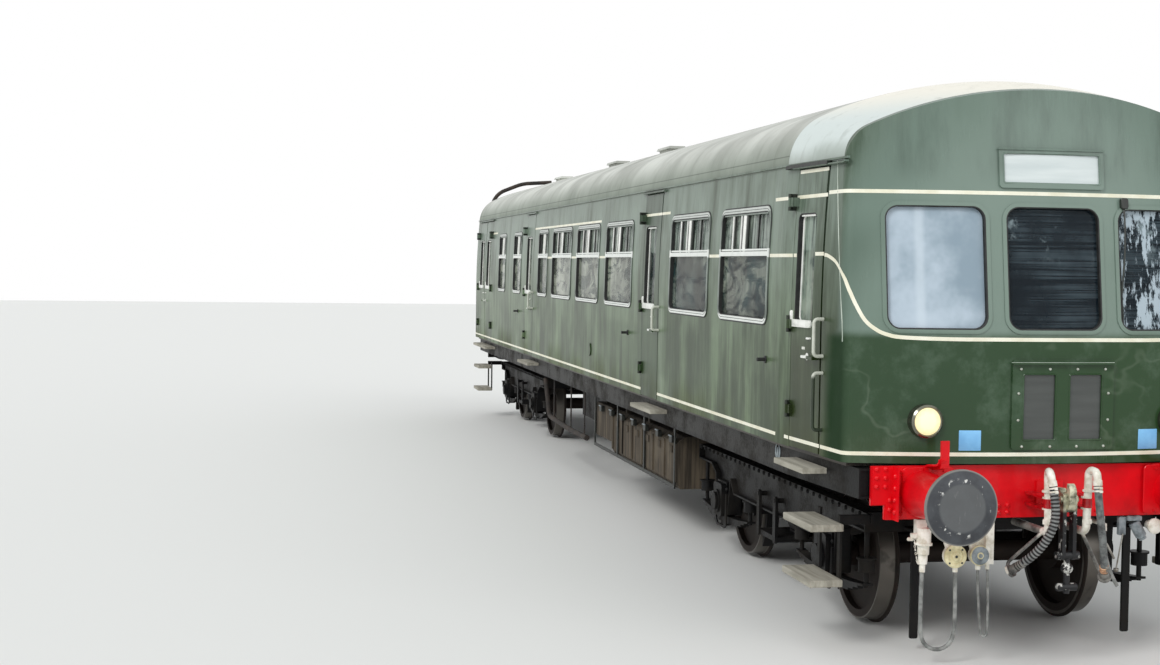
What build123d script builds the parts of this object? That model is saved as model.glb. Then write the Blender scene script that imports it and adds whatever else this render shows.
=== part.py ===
"""Driving brake coach of a diesel railcar set, the whole vehicle, standing on its wheel flanges.

Frame: +X towards the cab, +Y to the coach's left, +Z up, millimetres. The origin is midway
between the body ends, on the centre line, at the height of the flange tips.
"""

import os
from math import atan2, cos, hypot, pi, radians, sin, sqrt, tan

from build123d import *

os.makedirs("parts", exist_ok=True)

# Overall sizes of the body
body_length = 17374
half_width = 1410
flange_depth = 28
rail_z = flange_depth
skirt_z = rail_z + 1242
floor_z = rail_z + 1262
floor_thick = 50
waist_z = 2065
tumble_z = 2100
gutter_z = 3182
gutter_inset = 45
crown_z = rail_z + 3772
wall = 50
roof_thick = 45
roof_shoulder = 400
face_gap = 0.3
run_gap = 0.4

# Cab: its sides taper in plan, its front is bowed in plan and leans back above the waist
taper_length = 1300
taper_inset = 69
front_bow = 183
front_lean = 183
face_crown_z = 3590
face_shoulder = 200
cab_corner = 70

# Windows and doors, as distances back from the front of the body
window_width = 1260
window_narrow = 700
window_bottom = 2085
window_height = 845
window_corner = 95
window_transom_z = 2590
frame_width = 34
frame_proud = 8
glass_thick = 6
glass_depth = 24
frame_deep = 24
leaf_thick = 45
leaf_width = 620
leaf_bottom = skirt_z + 6
leaf_top = 3150
door_gap = 9
hinge_gap = 6
leaf_bevel = 14
hinge_out = 22
hinge_radius = 13
drop_bottom = 2120
drop_height = 735
drop_width = 400
drop_corner = 45
drop_from_hinge = 260
cab_leaf_width = 520
cab_drop_width = 310
cab_drop_from_hinge = 210
luggage_leaf_width = 720
luggage_window = (370, 420, drop_height, drop_bottom)
hinge_zs = (1530, 2110, 2935)
hinge_height = 60
hinge_strap = 46
lug_height = 26
handle_z = 1900
screen_width = 640
screen_height = 780
screen_bottom = 2115
screen_corner = 85
screen_pitch = 775

# Fittings of the cab face, as (centre across, width, low, high)
face_proud = 16
rim_width = 26
rim_proud = 7
headcode_panel = (50, 700, 1360, 1930)
headcode_windows = [(-116, 222, 1420, 1840), (202, 232, 1420, 1840)]
destination_panel = (0, 720, 3015, 3270)
destination_window = (0, 666, 3046, 3237)
blind_proud = 5
lamp_y = 851
lamp_z = 1540
lamp_radius = 105
lens_radius = 88
lamp_deep = 46

# Fittings of the sides
rail_radius = 12
rail_reach = 66
rail_bend = 28
rail_ahead = 34
cab_rails = [(1440, 1810), (1920, 2160)]
door_rail = (1910, 2120)
stop_radius = 13
stop_reach = 65
stop_z = 1835
hood_z = 3161
hood_deep = 30
hood_thick = 9
hood_over = 120
hood_lift = 7
drip_width = 14
drip_deep = 13
filler_back = 7845
filler_z = 1562
filler_radius = 62

# Fittings of the roof and the rear end
vent_places = [350, 3200, 7200]
vent_y = 225
vent_length = 520
vent_width = 210
vent_rise = 78
vent_cap = 30
stack_radius = 31
stack_off = 46
stack_route = [(1150, 1380), (1150, 3630), (640, 3835), (150, 3868)]
stack_clips = [1600, 2350, 3050]

# Gangway at the rear
gangway_width = 720
gangway_height = 1930
gangway_out = 130
gangway_reach = 350
gangway_folds = 7

# centre of each side window, back from the front, and its width
side_windows = [
    (2210, window_width),
    (3785, window_width),
    (6510, window_width),
    (8085, window_width),
    (9660, window_width),
    (10965, window_narrow),
    (13050, window_narrow),
    (14487, window_narrow),
]
# rear (hinged) edge of each single passenger door, back from the front
passenger_doors = [5420, 12300]
cab_door_rear = 1085
luggage_centre = 16330

# Running gear
bogie_centre = 6096
bogie_base = 2591
wheel_diameter = 914
wheel_width = 135
wheel_back = 680
tread_cone = 4
axle_radius = 76
journal_radius = 62
journal_y = 991
journal_length = 200
axle_z = rail_z + wheel_diameter / 2

# Underframe
solebar_y = 1335
solebar_depth = 190
solebar_flange = 85
plate = 14
sole_top = floor_z - floor_thick
sole_bottom = sole_top - solebar_depth
centre_sill_y = 380
bolster_width = 420
bolster_bottom = 985
bearer_count = 18
bearer_broad = 80
sill_reach = 620
pivot_pin = 45
fit_gap = 0.4

# Bogies
bogie_frame_length = 4090
frame_top = 890
frame_broad = 110
frame_web = 14
end_depth = 130
frame_arch = 690
frame_waist = 580
horn_foot = 384
horn_width = 60
horn_gap = 0.3
box_width = 240
box_broad = 190
box_top = 640
box_foot = 360
journal_end = 1080
transom_x = 290
transom_thick = 40
transom_depth = 260
end_beam_thick = 60
bolster_top = bolster_bottom - face_gap
bogie_bolster_width = 360
bogie_bolster_half = 900
bogie_bolster_depth = 200
pivot_depth = 70
plank_z = 400
plank_width = 480
plank_thick = 40
spring_length = 500
spring_stack = 62
bearing_spring = 1360
bearing_camber = 44
bearing_leaves = 4
bearing_leaf = 16
stay_top = 560
stay_low = 262
stay_thick = 14
link_x = 205
link_top = 700
link_half = 32
link_thick = 22
link_pin = 19
pin_length = 82
cup_radius = 55
cup_height = 90
cup_z = 525
shoe_gap = 8
shoe_thick = 50
hub_radius = 135
rim_depth = 65
step_reach = 1940
step_y = 1370
step_broad = 220
step_length = 560
step_thick = 40
step_levels = (840, 480)

# Equipment under the floor
battery_x = 2500
battery_length = 2740
battery_deep = 480
battery_out = 1200
battery_low = 450
battery_top = 930
battery_doors = 6
tank_x = 660
tank_length = 860
tank_low = 580
tank_top = 950
silencer_y = 1290
silencer_pipe = 62
silencer_route = [(-2590, 1000), (-2260, 545), (-820, 513), (147, 521)]
silencer_clips = [(-1950, 540), (-820, 515), (0, 520)]
engine_places = (800, -2300)
engine_length = 1500
engine_width = 1400
engine_height = 560
board_z = 1190
board_out = 1490
board_thick = 36

# Interior
seat_depth = 480
seat_height = 430
seat_back_thick = 110
seat_back_height = 1080
seat_lean = 90
seat_nose = 60
seat_plinth = 250
seat_shift = 60
seat_pitch = 775
seat_width = 920
seat_wall_gap = 40
seat_bays = [(1440, 4560), (5640, 11470)]
cab_bulkhead = 1345
cab_seat_y = 800
cab_seat_width = 460
cab_seat_ahead = 500
partition_window = (470, 620, 800, 1050)
bulkhead_places = [cab_bulkhead, 4620, 5560, 11500, 12480, 13780]
bulkhead_thick = 40
passage_width = 640
passage_height = 1850
desk_depth = 420
desk_half = 1180
desk_height = 780

# Buffers and beam
buffer_y = 868.5
buffer_z = rail_z + 1054
buffer_head = 457
buffer_ahead = 558
buffer_reach = body_length / 2 + buffer_ahead
beam_half = 1200
beam_top = 1258
beam_bottom = 920
beam_thick = 22
beam_back = 87
gusset_in = 1045
gusset_thick = 10
beam_step_z = 1010
beam_foot_half = 1110
housing_plate = 330
housing_radius = 125
buffer_stroke = 110
plunger_radius = 85
buffer_flat = 150
buffer_dish = 14
buffer_rim = 22
hook_z = 1080
hook_thick = 46
hook_reach = 320
shackle_back = 265

# Brake pipes, jumper cables and hoses at the front; a route is a list of (x, y, z)
pipe_back = 8420
pipe_x = 8880
pipe_y = 128
pipe_z = 862
pipe_thick = 50
hose_thick = 48
loop_thick = 26
pair_thick = 17
thin_thick = 24
jumper_x = 8660
socket_places = [(-652, 690), (-489, 692)]
lamp_iron_x = 8800
lamp_iron_y = 815
iron_foot = 1236
iron_top = 1432
loop_sides = (-864, -642)
loop_tops = (592, 587)
loop_low = 98
hose_left = [
    (8972, -152, 1165),
    (8990, -138, 1060),
    (8992, -142, 930),
    (8955, -190, 805),
    (8890, -250, 705),
    (8815, -300, 640),
]
hose_right = [
    (8972, 150, 1165),
    (8990, 152, 1055),
    (8985, 172, 925),
    (8955, 205, 795),
    (8900, 245, 685),
    (8835, 285, 600),
]
cable_pair = [
    (8660, -489, 600),
    (8661, -487, 490),
    (8664, -480, 360),
    (8668, -468, 225),
    (8669, -462, 172),
    (8666, -422, 172),
    (8664, -418, 225),
    (8662, -416, 360),
    (8661, -419, 490),
    (8660, -424, 600),
]
thin_hose = [
    (8660, 376, 830),
    (8662, 378, 740),
    (8664, 392, 645),
    (8664, 428, 550),
    (8660, 476, 470),
]

front_x = body_length / 2
rear_x = -body_length / 2
taper_x = front_x - taper_length
gutter_half = half_width - gutter_inset
beam_x = front_x - beam_back
front_radius = (half_width**2 + front_bow**2) / (2 * front_bow)
lean_height = face_crown_z - waist_z


def keep(piece, label):
    """Name a finished piece and write it to its own file."""
    piece.part.label = label
    export_step(piece.part, f"parts/{label}.step")


def back(distance):
    """X of a point that lies a distance back from the front of the body."""
    return front_x - distance


def half_at(x):
    """Half width of the body below the tumble-in, which shrinks along the cab."""
    if x <= taper_x:
        return half_width
    return half_width - (x - taper_x) * taper_inset / taper_length


def front_at(y, z=0):
    """X of the outer face of the cab front at a place across it."""
    bow = front_radius - sqrt(front_radius**2 - y**2)
    lean = max(0, z - waist_z) * front_lean / lean_height
    return front_x - bow - lean


def wall_section(plane, side, near, far):
    """Section across the coach of a skin of one body side, between two depths behind its face."""
    with BuildSketch(plane) as section:
        with BuildLine():
            lower = Line((side * (half_width - near), skirt_z), (side * (half_width - near), tumble_z))
            upper = TangentArc(lower @ 1, (side * (gutter_half - near), gutter_z), tangent=(0, 1))
            inner = Line((side * (half_width - far), skirt_z), (side * (half_width - far), tumble_z))
            inner_up = TangentArc(inner @ 1, (side * (gutter_half - far), gutter_z), tangent=(0, 1))
            Line(upper @ 1, inner_up @ 1)
            Line(lower @ 0, inner @ 0)
        make_face()
    return section.sketch


def hull_section(plane, side, inset):
    """Half section of the space inside a depth behind the side face, open high above the roof."""
    high = crown_z + 200
    with BuildSketch(plane) as section:
        with BuildLine():
            base = Line((0, skirt_z), (side * (half_width - inset), skirt_z))
            lower = Line(base @ 1, (side * (half_width - inset), tumble_z))
            upper = TangentArc(lower @ 1, (side * (gutter_half - inset), gutter_z), tangent=(0, 1))
            rise = Line(upper @ 1, (side * (gutter_half - inset), high))
            lid = Line(rise @ 1, (0, high))
            Line(lid @ 1, base @ 0)
        make_face()
    return section.sketch


def arch(plane, half, crown, shoulder, base_z):
    """Roof outline: a crown arc that runs into two shoulder arcs, upright at the gutters."""
    reach = half - shoulder
    rise = crown - gutter_z
    crown_radius = (reach**2 + rise**2 - shoulder**2) / (2 * (rise - shoulder))
    turn = atan2(reach, crown_radius - rise)
    knee_y = reach + shoulder * sin(turn)
    knee_z = gutter_z + shoulder * cos(turn)
    with BuildSketch(plane) as section:
        with BuildLine():
            floor_line = Line((-half, base_z), (half, base_z))
            right = Line(floor_line @ 1, (half, gutter_z))
            left = Line(floor_line @ 0, (-half, gutter_z))
            near = TangentArc(right @ 1, (knee_y, knee_z), tangent=(0, 1))
            far = TangentArc(left @ 1, (-knee_y, knee_z), tangent=(0, 1))
            ThreePointArc(near @ 1, (0, crown), far @ 1)
        make_face()
    return section.sketch


def front_plan(plane, inset):
    """Plan of the ground behind the bowed front, at a depth behind its face."""
    wide = half_width + 200
    bow = front_radius - sqrt(front_radius**2 - wide**2)
    nose = front_x - inset
    tail = taper_x - 2000
    with BuildSketch(plane) as section:
        with BuildLine():
            nose_arc = ThreePointArc((nose - bow, -wide), (nose, 0), (nose - bow, wide))
            Polyline(nose_arc @ 1, (tail, wide), (tail, -wide), nose_arc @ 0)
        make_face()
    return section.sketch


def hung_loop(x, sides, tops, low):
    """Route of a cable that hangs between two points: two legs joined by half a ring.

    The half ring is five corners of a ten-sided ring, and the legs bow out a little.
    """
    first, last = sides
    middle = (first + last) / 2
    radius = (last - first) / 2
    corner = radius / cos(pi / 10)
    ring = []
    for step in range(5):
        turn = pi + pi / 10 + step * pi / 5
        ring.append((x, middle + corner * cos(turn), low + radius + corner * sin(turn)))
    legs = []
    for side, top, foot, out in ((first, tops[0], ring[0], -1), (last, tops[1], ring[-1], 1)):
        drop = (top - foot[2]) / 3
        legs.append([
            (x, side, top),
            (x, side + out * 4, top - drop),
            (x, side + out * 5, top - 2 * drop),
        ])
    return legs[0] + ring + legs[1][::-1]


cable_loop = hung_loop(jumper_x, loop_sides, loop_tops, loop_low)


def round_bar(points, radii, thick):
    """A round bar or pipe along straight runs joined by arcs."""
    with BuildPart() as bar:
        with BuildLine() as run:
            FilletPolyline(*points, radius=radii)
        with BuildSketch(Plane(run.line @ 0, z_dir=run.line % 0)):
            Circle(thick / 2)
        sweep()
    return bar.part


def collar(start, toward, parts):
    """Round fitting that ends square on the start of a cord, from (radius, length) steps."""
    origin = Vector(*start)
    away = origin - Vector(*toward)
    with BuildPart() as fitting:
        reach = 0
        for radius, length in parts:
            with BuildSketch(Plane(origin=origin + away.normalized() * reach, z_dir=away)):
                Circle(radius)
            extrude(amount=length)
            reach += length
    return fitting.part


def cord(route, thick, label):
    """A hanging cable or hose: straight runs joined by arcs as large as the runs allow."""
    corners = [Vector(*point) for point in route]
    radii = []
    for before, here, after in zip(corners, corners[1:], corners[2:]):
        turn = radians((here - before).get_angle(after - here))
        shorter = min((here - before).length, (after - here).length)
        radii.append(0.45 * shorter / tan(turn / 2))
    with BuildPart() as tube:
        with BuildLine() as run:
            FilletPolyline(*corners, radius=radii)
        with BuildSketch(Plane(run.line @ 0, z_dir=run.line % 0)):
            Circle(thick / 2)
        sweep()
    length = run.wire().length
    share = tube.part.volume / (pi * thick**2 / 4 * length)
    print(f"{label}: {length:.0f} mm long, radii {[round(r) for r in radii]}, volume {share:.3f}")
    return tube


# Solids that bound the cab, used by the pieces below


def front_space(inset):
    """Everything behind the bowed front, upright to the waist and leaning back above it."""
    height = crown_z + 300 - waist_z
    lean = front_lean * height / lean_height
    base = skirt_z - 400
    with BuildPart() as space:
        extrude(front_plan(Plane.XY.offset(base), inset), amount=waist_z - base)
        extrude(
            front_plan(Plane.XY.offset(waist_z), inset),
            amount=hypot(height, lean),
            dir=(-lean, 0, height),
        )
    return space.part


def cab_space(inset):
    """Everything between the tapering cab sides and behind the bowed front, less a depth."""
    run = hypot(taper_length, taper_inset) * 1.3
    with BuildPart() as space:
        for side in (-1, 1):
            section = hull_section(Plane.YZ.offset(taper_x), side, inset)
            extrude(section, amount=run, dir=(taper_length, -side * taper_inset, 0))
        add(front_space(inset), mode=Mode.INTERSECT)
    return space.part


def dome(inset):
    """Cab roof: falls forward on one long arc while it narrows with the cab sides."""
    drop = crown_z - face_crown_z
    sag_radius = (taper_length**2 + drop**2) / (2 * drop)
    with BuildPart() as shape:
        sections = []
        for share in (0, 0.35, 0.7, 1):
            along = taper_length * share
            fall = sag_radius - sqrt(sag_radius**2 - along**2)
            half = gutter_half - taper_inset * share
            shoulder = roof_shoulder + (face_shoulder - roof_shoulder) * share
            plane = Plane.YZ.offset(taper_x + along)
            outline = arch(plane, half - inset, crown_z - fall - inset, shoulder - inset, gutter_z - 20)
            sections.append(outline)
        loft(sections)
    return shape.part


def above_gutter():
    """The space above gutter level."""
    with BuildPart() as space:
        with BuildSketch(Plane.XY.offset(gutter_z)):
            Rectangle(3 * front_x, 4 * half_width)
        extrude(amount=crown_z)
    return space.part


def on_face(outline, proud, deep):
    """The part of an outline drawn from ahead that lies over the cab face, between two heights."""
    with BuildPart() as plate:
        extrude(outline, amount=1000)
        add(front_space(-proud), mode=Mode.INTERSECT)
        add(front_space(-deep), mode=Mode.SUBTRACT)
    return plate.part


# Underframe: channel solebars, centre sills, cross bearers, bolsters and headstocks

cab_floor_x = front_x - front_bow - wall
rear_frame_x = rear_x + wall

frame_front = beam_x - face_gap
frame_rear = rear_frame_x
bearer_pitch = (frame_front - frame_rear - 120) / (bearer_count - 1)
bearer_places = [frame_rear + 60 + step * bearer_pitch for step in range(bearer_count)]
hanger_top = sole_bottom + plate - face_gap

with BuildPart() as underframe:
    for side in (-1, 1):
        web = side * solebar_y
        with BuildSketch(Plane.YZ.offset(frame_rear)):
            with Locations((web - side * plate / 2, (sole_top + sole_bottom) / 2)):
                Rectangle(plate, solebar_depth)
            for level in (sole_top - plate / 2, sole_bottom + plate / 2):
                with Locations((web - side * solebar_flange / 2, level)):
                    Rectangle(solebar_flange, plate)
        extrude(amount=taper_x - frame_rear)
        with BuildSketch(Plane.YZ.offset(frame_rear)):
            with Locations((side * centre_sill_y, (sole_top + sole_bottom) / 2)):
                Rectangle(plate, solebar_depth)
            for level in (sole_top - plate / 2, sole_bottom + plate / 2):
                with Locations((side * centre_sill_y, level)):
                    Rectangle(solebar_flange, plate)
        extrude(amount=frame_front - frame_rear)
        with BuildSketch(Plane.YZ.offset(taper_x)):
            with Locations((web - side * plate / 2, (sole_top + sole_bottom) / 2)):
                Rectangle(plate, solebar_depth)
            for level in (sole_top - plate / 2, sole_bottom + plate / 2):
                with Locations((web - side * solebar_flange / 2, level)):
                    Rectangle(solebar_flange, plate)
        extrude(amount=frame_front - taper_x, dir=(taper_length, -side * taper_inset, 0))
    for x in bearer_places:
        half = solebar_y - plate - max(0, x - taper_x) * taper_inset / taper_length
        with Locations((x, 0, (sole_top + sole_bottom) / 2)):
            Box(bearer_broad, 2 * half, solebar_depth - 2 * plate)
    for centre in (-bogie_centre, bogie_centre):
        with Locations((centre, 0, (sole_top + bolster_bottom) / 2)):
            Box(bolster_width, 2 * sill_reach, sole_top - bolster_bottom)
        with Locations((centre, 0, (sole_top + sole_bottom) / 2)):
            Box(bolster_width, 2 * (solebar_y - plate), solebar_depth)
        with Locations((centre, 0, bolster_bottom - 30)):
            Cylinder(pivot_pin, 60)

# Floor between the body sides

with BuildPart() as floor:
    inner_half = half_width - wall
    with BuildSketch(Plane.XY.offset(sole_top)):
        with BuildLine():
            nose_half = inner_half - taper_inset * (cab_floor_x - taper_x) / taper_length
            Polyline(
                (rear_frame_x, -inner_half),
                (taper_x, -inner_half),
                (cab_floor_x, -nose_half),
                (cab_floor_x, nose_half),
                (taper_x, inner_half),
                (rear_frame_x, inner_half),
                close=True,
            )
        make_face()
    extrude(amount=floor_thick)

# Body sides, with their windows and door openings cut

leaf_height = leaf_top - leaf_bottom


def window_holes(low_x, high_x):
    """Side windows that fall between two places along the body, drawn on the side."""
    for centre, width in side_windows:
        if low_x < back(centre) < high_x:
            with Locations((back(centre), window_bottom + window_height / 2)):
                RectangleRounded(width, window_height, window_corner)


with BuildPart() as side_right:
    extrude(wall_section(Plane.YZ.offset(rear_x), -1, 0, wall), amount=taper_x - rear_x)
    with BuildSketch(Plane.XZ):
        window_holes(rear_x, taper_x)
    extrude(amount=2 * half_width, mode=Mode.SUBTRACT)
    with BuildSketch(Plane.XZ):
        for rear_edge in passenger_doors:
            low = back(rear_edge) - hinge_gap
            width = leaf_width + hinge_gap + door_gap
            with Locations((low + width / 2, (leaf_top + door_gap) / 2)):
                Rectangle(width, leaf_top + door_gap)
        luggage_width = 2 * (luggage_leaf_width + hinge_gap) + door_gap
        with Locations((back(luggage_centre), (leaf_top + door_gap) / 2)):
            Rectangle(luggage_width, leaf_top + door_gap)
    extrude(amount=2 * half_width, mode=Mode.SUBTRACT)

with BuildPart() as side_left:
    mirror(side_right.part, about=Plane.XZ)

# Cab front with its own sides, bounded above by the dome


def screen_openings(plane):
    """The three windscreens, drawn from ahead."""
    with BuildSketch(plane) as openings:
        for y in (-screen_pitch, 0, screen_pitch):
            with Locations((y, screen_bottom + screen_height / 2)):
                RectangleRounded(screen_width, screen_height, screen_corner)
    return openings.sketch


cab_hinge_x = back(cab_door_rear)
face_plane = Plane.YZ.offset(front_x - 500)

with BuildSketch(face_plane) as rim_outline:
    for y in (-screen_pitch, 0, screen_pitch):
        with Locations((y, screen_bottom + screen_height / 2)):
            RectangleRounded(
                screen_width + 2 * rim_width,
                screen_height + 2 * rim_width,
                screen_corner + rim_width,
            )

with BuildPart() as cab_front:
    add(cab_space(0))
    upright = cab_front.edges().filter_by(lambda edge: abs(edge.tangent_at(0.5).Z) > 0.9)
    corners = upright.filter_by(lambda edge: front_x - 500 < edge.center().X < front_x - 50)
    fillet(corners, cab_corner)
    add(cab_space(wall), mode=Mode.SUBTRACT)
    add(above_gutter() & front_space(wall), mode=Mode.SUBTRACT)
    add(above_gutter() - dome(0), mode=Mode.SUBTRACT)
    add(on_face(rim_outline.sketch, rim_proud, -wall / 2))
    extrude(screen_openings(face_plane), amount=1000, mode=Mode.SUBTRACT)
    with BuildSketch(Plane.XZ):
        cab_opening = cab_leaf_width + hinge_gap + door_gap
        with Locations((cab_hinge_x + cab_opening / 2, (leaf_top + door_gap) / 2)):
            Rectangle(cab_opening, leaf_top + door_gap)
    extrude(amount=2 * half_width, both=True, mode=Mode.SUBTRACT)

# Roofs: the long one over the saloons, and the dome over the cab


def under_roof(x, length):
    """The space under the roof skin, above gutter level, over a length of the coach."""
    half = gutter_half - roof_thick
    with BuildPart() as space:
        outline = arch(
            Plane.YZ.offset(x),
            half,
            crown_z - roof_thick,
            roof_shoulder - roof_thick,
            gutter_z - 20,
        )
        extrude(outline, amount=length)
        split(bisect_by=Plane.XY.offset(gutter_z), keep=Keep.TOP)
    return space.part


with BuildPart() as roof:
    outline = arch(Plane.YZ.offset(rear_x), gutter_half, crown_z, roof_shoulder, gutter_z - 20)
    extrude(outline, amount=taper_x - rear_x)
    split(bisect_by=Plane.XY.offset(gutter_z), keep=Keep.TOP)
    add(under_roof(rear_x, taper_x - rear_x), mode=Mode.SUBTRACT)

with BuildPart() as cab_roof:
    add(dome(0))
    add(dome(roof_thick), mode=Mode.SUBTRACT)
    add(front_space(wall), mode=Mode.INTERSECT)
    split(bisect_by=Plane.XY.offset(gutter_z), keep=Keep.TOP)

# Rear end wall with the gangway opening, under the end of the roof

def cross_wall(x, thick, passage):
    """A wall across the inside of the body, up to the roof, with a passage (width, height)."""
    plane = Plane.YZ.offset(x)
    with BuildPart() as cross:
        for side in (-1, 1):
            extrude(hull_section(plane, side, wall), amount=thick)
        split(bisect_by=Plane.XY.offset(gutter_z), keep=Keep.BOTTOM)
        add(under_roof(x, thick))
        wide, tall = passage
        with BuildSketch(plane):
            with Locations((0, floor_z + tall / 2)):
                RectangleRounded(wide, tall, 60)
            with Locations((0, (skirt_z + floor_z + 120) / 2)):
                Rectangle(wide, floor_z + 120 - skirt_z)
        extrude(amount=thick, mode=Mode.SUBTRACT)
    return cross.part


with BuildPart() as rear_end:
    add(cross_wall(rear_x, wall, (gangway_width, gangway_height)))

# Gangway at the rear end: a ribbed bellows frame round the opening

with BuildPart() as gangway:
    for step in range(gangway_folds):
        fold_x = rear_x - (step + 0.5) * gangway_reach / gangway_folds
        fold_out = gangway_out if step % 2 else gangway_out - 25
        with BuildSketch(Plane.YZ.offset(fold_x - gangway_reach / gangway_folds / 2)):
            with Locations((0, floor_z + gangway_height / 2 + 20)):
                RectangleRounded(gangway_width + 2 * fold_out, gangway_height + 2 * fold_out, 90)
                RectangleRounded(gangway_width + 20, gangway_height, 60, mode=Mode.SUBTRACT)
        extrude(amount=gangway_reach / gangway_folds)

# Doors


def swing_leaf(shell, hinge, width, low, high, window):
    """One hinged leaf on the right side: a piece of the side skin with a bevelled closing edge.

    hinge is the hinge line in plan, window is (centre from the hinge, width, height, bottom).
    """
    hinge_x, hinge_y = hinge
    rear = hinge_x + hinge_gap
    lead = rear + width
    deep = 150
    slope = deep * leaf_bevel / leaf_thick
    with BuildPart() as leaf:
        with BuildSketch(Plane.XY.offset(low)):
            with BuildLine():
                outer_y = hinge_y
                inner_y = hinge_y + deep
                Polyline(
                    (rear, outer_y),
                    (lead, outer_y),
                    (lead - slope, inner_y),
                    (rear, inner_y),
                    close=True,
                )
            make_face()
        extrude(amount=high - low)
        add(shell, mode=Mode.INTERSECT)
        if window:
            along, wide, tall, bottom = window
            with BuildSketch(Plane.XZ.offset(-hinge_y - 300)):
                with Locations((hinge_x + along, bottom + tall / 2)):
                    RectangleRounded(wide, tall, drop_corner)
            extrude(amount=400, mode=Mode.SUBTRACT)
        for level, depth in hinge_levels:
            with Locations((hinge_x, hinge_y, level)):
                Cylinder(hinge_radius, hinge_height)
            with Locations((rear + hinge_strap / 2 - 2, hinge_y + depth / 2, level)):
                Box(hinge_strap, depth, hinge_height)
        handle_y = -half_at(lead - 45)
        with Locations((lead - 45, handle_y - 15, handle_z)):
            Cylinder(11, 50, rotation=(90, 0, 0))
        with Locations((lead - 85, handle_y - 42, handle_z)):
            Box(110, 14, 22)
    return leaf


def tumble_at(z):
    """How far the side has leaned in at a height."""
    rise = max(0, z - tumble_z)
    bend = ((gutter_z - tumble_z) ** 2 + gutter_inset**2) / (2 * gutter_inset)
    return bend - sqrt(bend**2 - rise**2)


hinge_levels = [(level, hinge_out + tumble_at(level) + 8) for level in hinge_zs]


def hinge_lugs(hinge_x, hinge_y):
    """Fixed lugs above and below each knuckle, on a pad on the side behind the opening."""
    for level, depth in hinge_levels:
        for up in (-1, 1):
            z = level + up * (hinge_height / 2 + face_gap + lug_height / 2)
            with Locations((hinge_x, hinge_y, z)):
                Cylinder(hinge_radius, lug_height)
            with Locations((hinge_x - 20, hinge_y + depth / 2, z)):
                Box(36, depth, lug_height)


with BuildPart() as side_shell:
    extrude(wall_section(Plane.YZ.offset(rear_x), -1, 0, leaf_thick), amount=taper_x - rear_x)

cab_shell = cab_space(0) - cab_space(leaf_thick)
side_hinge_y = -(half_width + hinge_out)
cab_hinge_y = -(half_at(cab_hinge_x) + hinge_out)
drop_window = (hinge_gap + drop_from_hinge, drop_width, drop_height, drop_bottom)
cab_window = (hinge_gap + cab_drop_from_hinge, cab_drop_width, drop_height, drop_bottom)

cab_leaf = swing_leaf(
    cab_shell, (cab_hinge_x, cab_hinge_y), cab_leaf_width, leaf_bottom, leaf_top, cab_window
)
saloon_leaf = swing_leaf(
    side_shell.part,
    (back(passenger_doors[0]) - hinge_gap, side_hinge_y),
    leaf_width,
    leaf_bottom,
    leaf_top,
    drop_window,
)
rear_leaf = swing_leaf(
    side_shell.part,
    (back(passenger_doors[1]) - hinge_gap, side_hinge_y),
    leaf_width,
    leaf_bottom,
    leaf_top,
    drop_window,
)
luggage_half = luggage_leaf_width + hinge_gap + door_gap / 2
luggage_rear_leaf = swing_leaf(
    side_shell.part,
    (back(luggage_centre) - luggage_half, side_hinge_y),
    luggage_leaf_width,
    leaf_bottom,
    leaf_top,
    luggage_window,
)
with BuildPart() as luggage_front_leaf:
    mirror(luggage_rear_leaf.part, about=Plane.YZ.offset(back(luggage_centre)))

right_leaves = {
    "cab": cab_leaf,
    "saloon": saloon_leaf,
    "rear": rear_leaf,
    "luggage_rear": luggage_rear_leaf,
    "luggage_front": luggage_front_leaf,
}
for place, leaf in right_leaves.items():
    keep(leaf, f"door_{place}_right")
    with BuildPart() as twin:
        mirror(leaf.part, about=Plane.XZ)
    keep(twin, f"door_{place}_left")

with BuildPart() as far_lugs:
    hinge_lugs(back(luggage_centre) - luggage_half, side_hinge_y)

with BuildPart() as door_lugs:
    hinge_lugs(cab_hinge_x, cab_hinge_y)
    for rear_edge in passenger_doors:
        hinge_lugs(back(rear_edge) - hinge_gap, side_hinge_y)
    add(far_lugs.part)
    mirror(far_lugs.part, about=Plane.YZ.offset(back(luggage_centre)))
    add(side_shell.part, mode=Mode.SUBTRACT)
    add(cab_space(0), mode=Mode.SUBTRACT)
    mirror(about=Plane.XZ)

# Glass and window frames

with BuildPart() as window_glass:
    extrude(
        wall_section(Plane.YZ.offset(rear_x), -1, glass_depth, glass_depth + glass_thick),
        amount=taper_x - rear_x,
    )
    with BuildSketch(Plane.XZ):
        window_holes(rear_x, taper_x)
    extrude(amount=2 * half_width, mode=Mode.INTERSECT)
    mirror(about=Plane.XZ)
    add(
        (cab_space(glass_depth) - cab_space(glass_depth + glass_thick))
        & extrude(screen_openings(face_plane), amount=1000, mode=Mode.PRIVATE)
    )

with BuildPart() as window_frames:
    extrude(
        wall_section(Plane.YZ.offset(rear_x), -1, -frame_proud, frame_deep),
        amount=taper_x - rear_x,
    )
    with BuildSketch(Plane.XZ):
        for centre, width in side_windows:
            with Locations((back(centre), window_bottom + window_height / 2)):
                RectangleRounded(width, window_height, window_corner)
                RectangleRounded(
                    width - 2 * frame_width,
                    window_height - 2 * frame_width,
                    window_corner - frame_width,
                    mode=Mode.SUBTRACT,
                )
            with Locations((back(centre), window_transom_z)):
                Rectangle(width - frame_width, frame_width)
    extrude(amount=2 * half_width, mode=Mode.INTERSECT)
    mirror(about=Plane.XZ)

# Cab face: rims round the windscreens, headcode and destination boxes with their blinds, lamps

def panel_outline(panel, corner, inset):
    """Rounded outline of a (centre, width, low, high) panel, smaller all round by an inset."""
    centre, width, low, high = panel
    with Locations((centre, (low + high) / 2)):
        RectangleRounded(width - 2 * inset, high - low - 2 * inset, corner)


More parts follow.
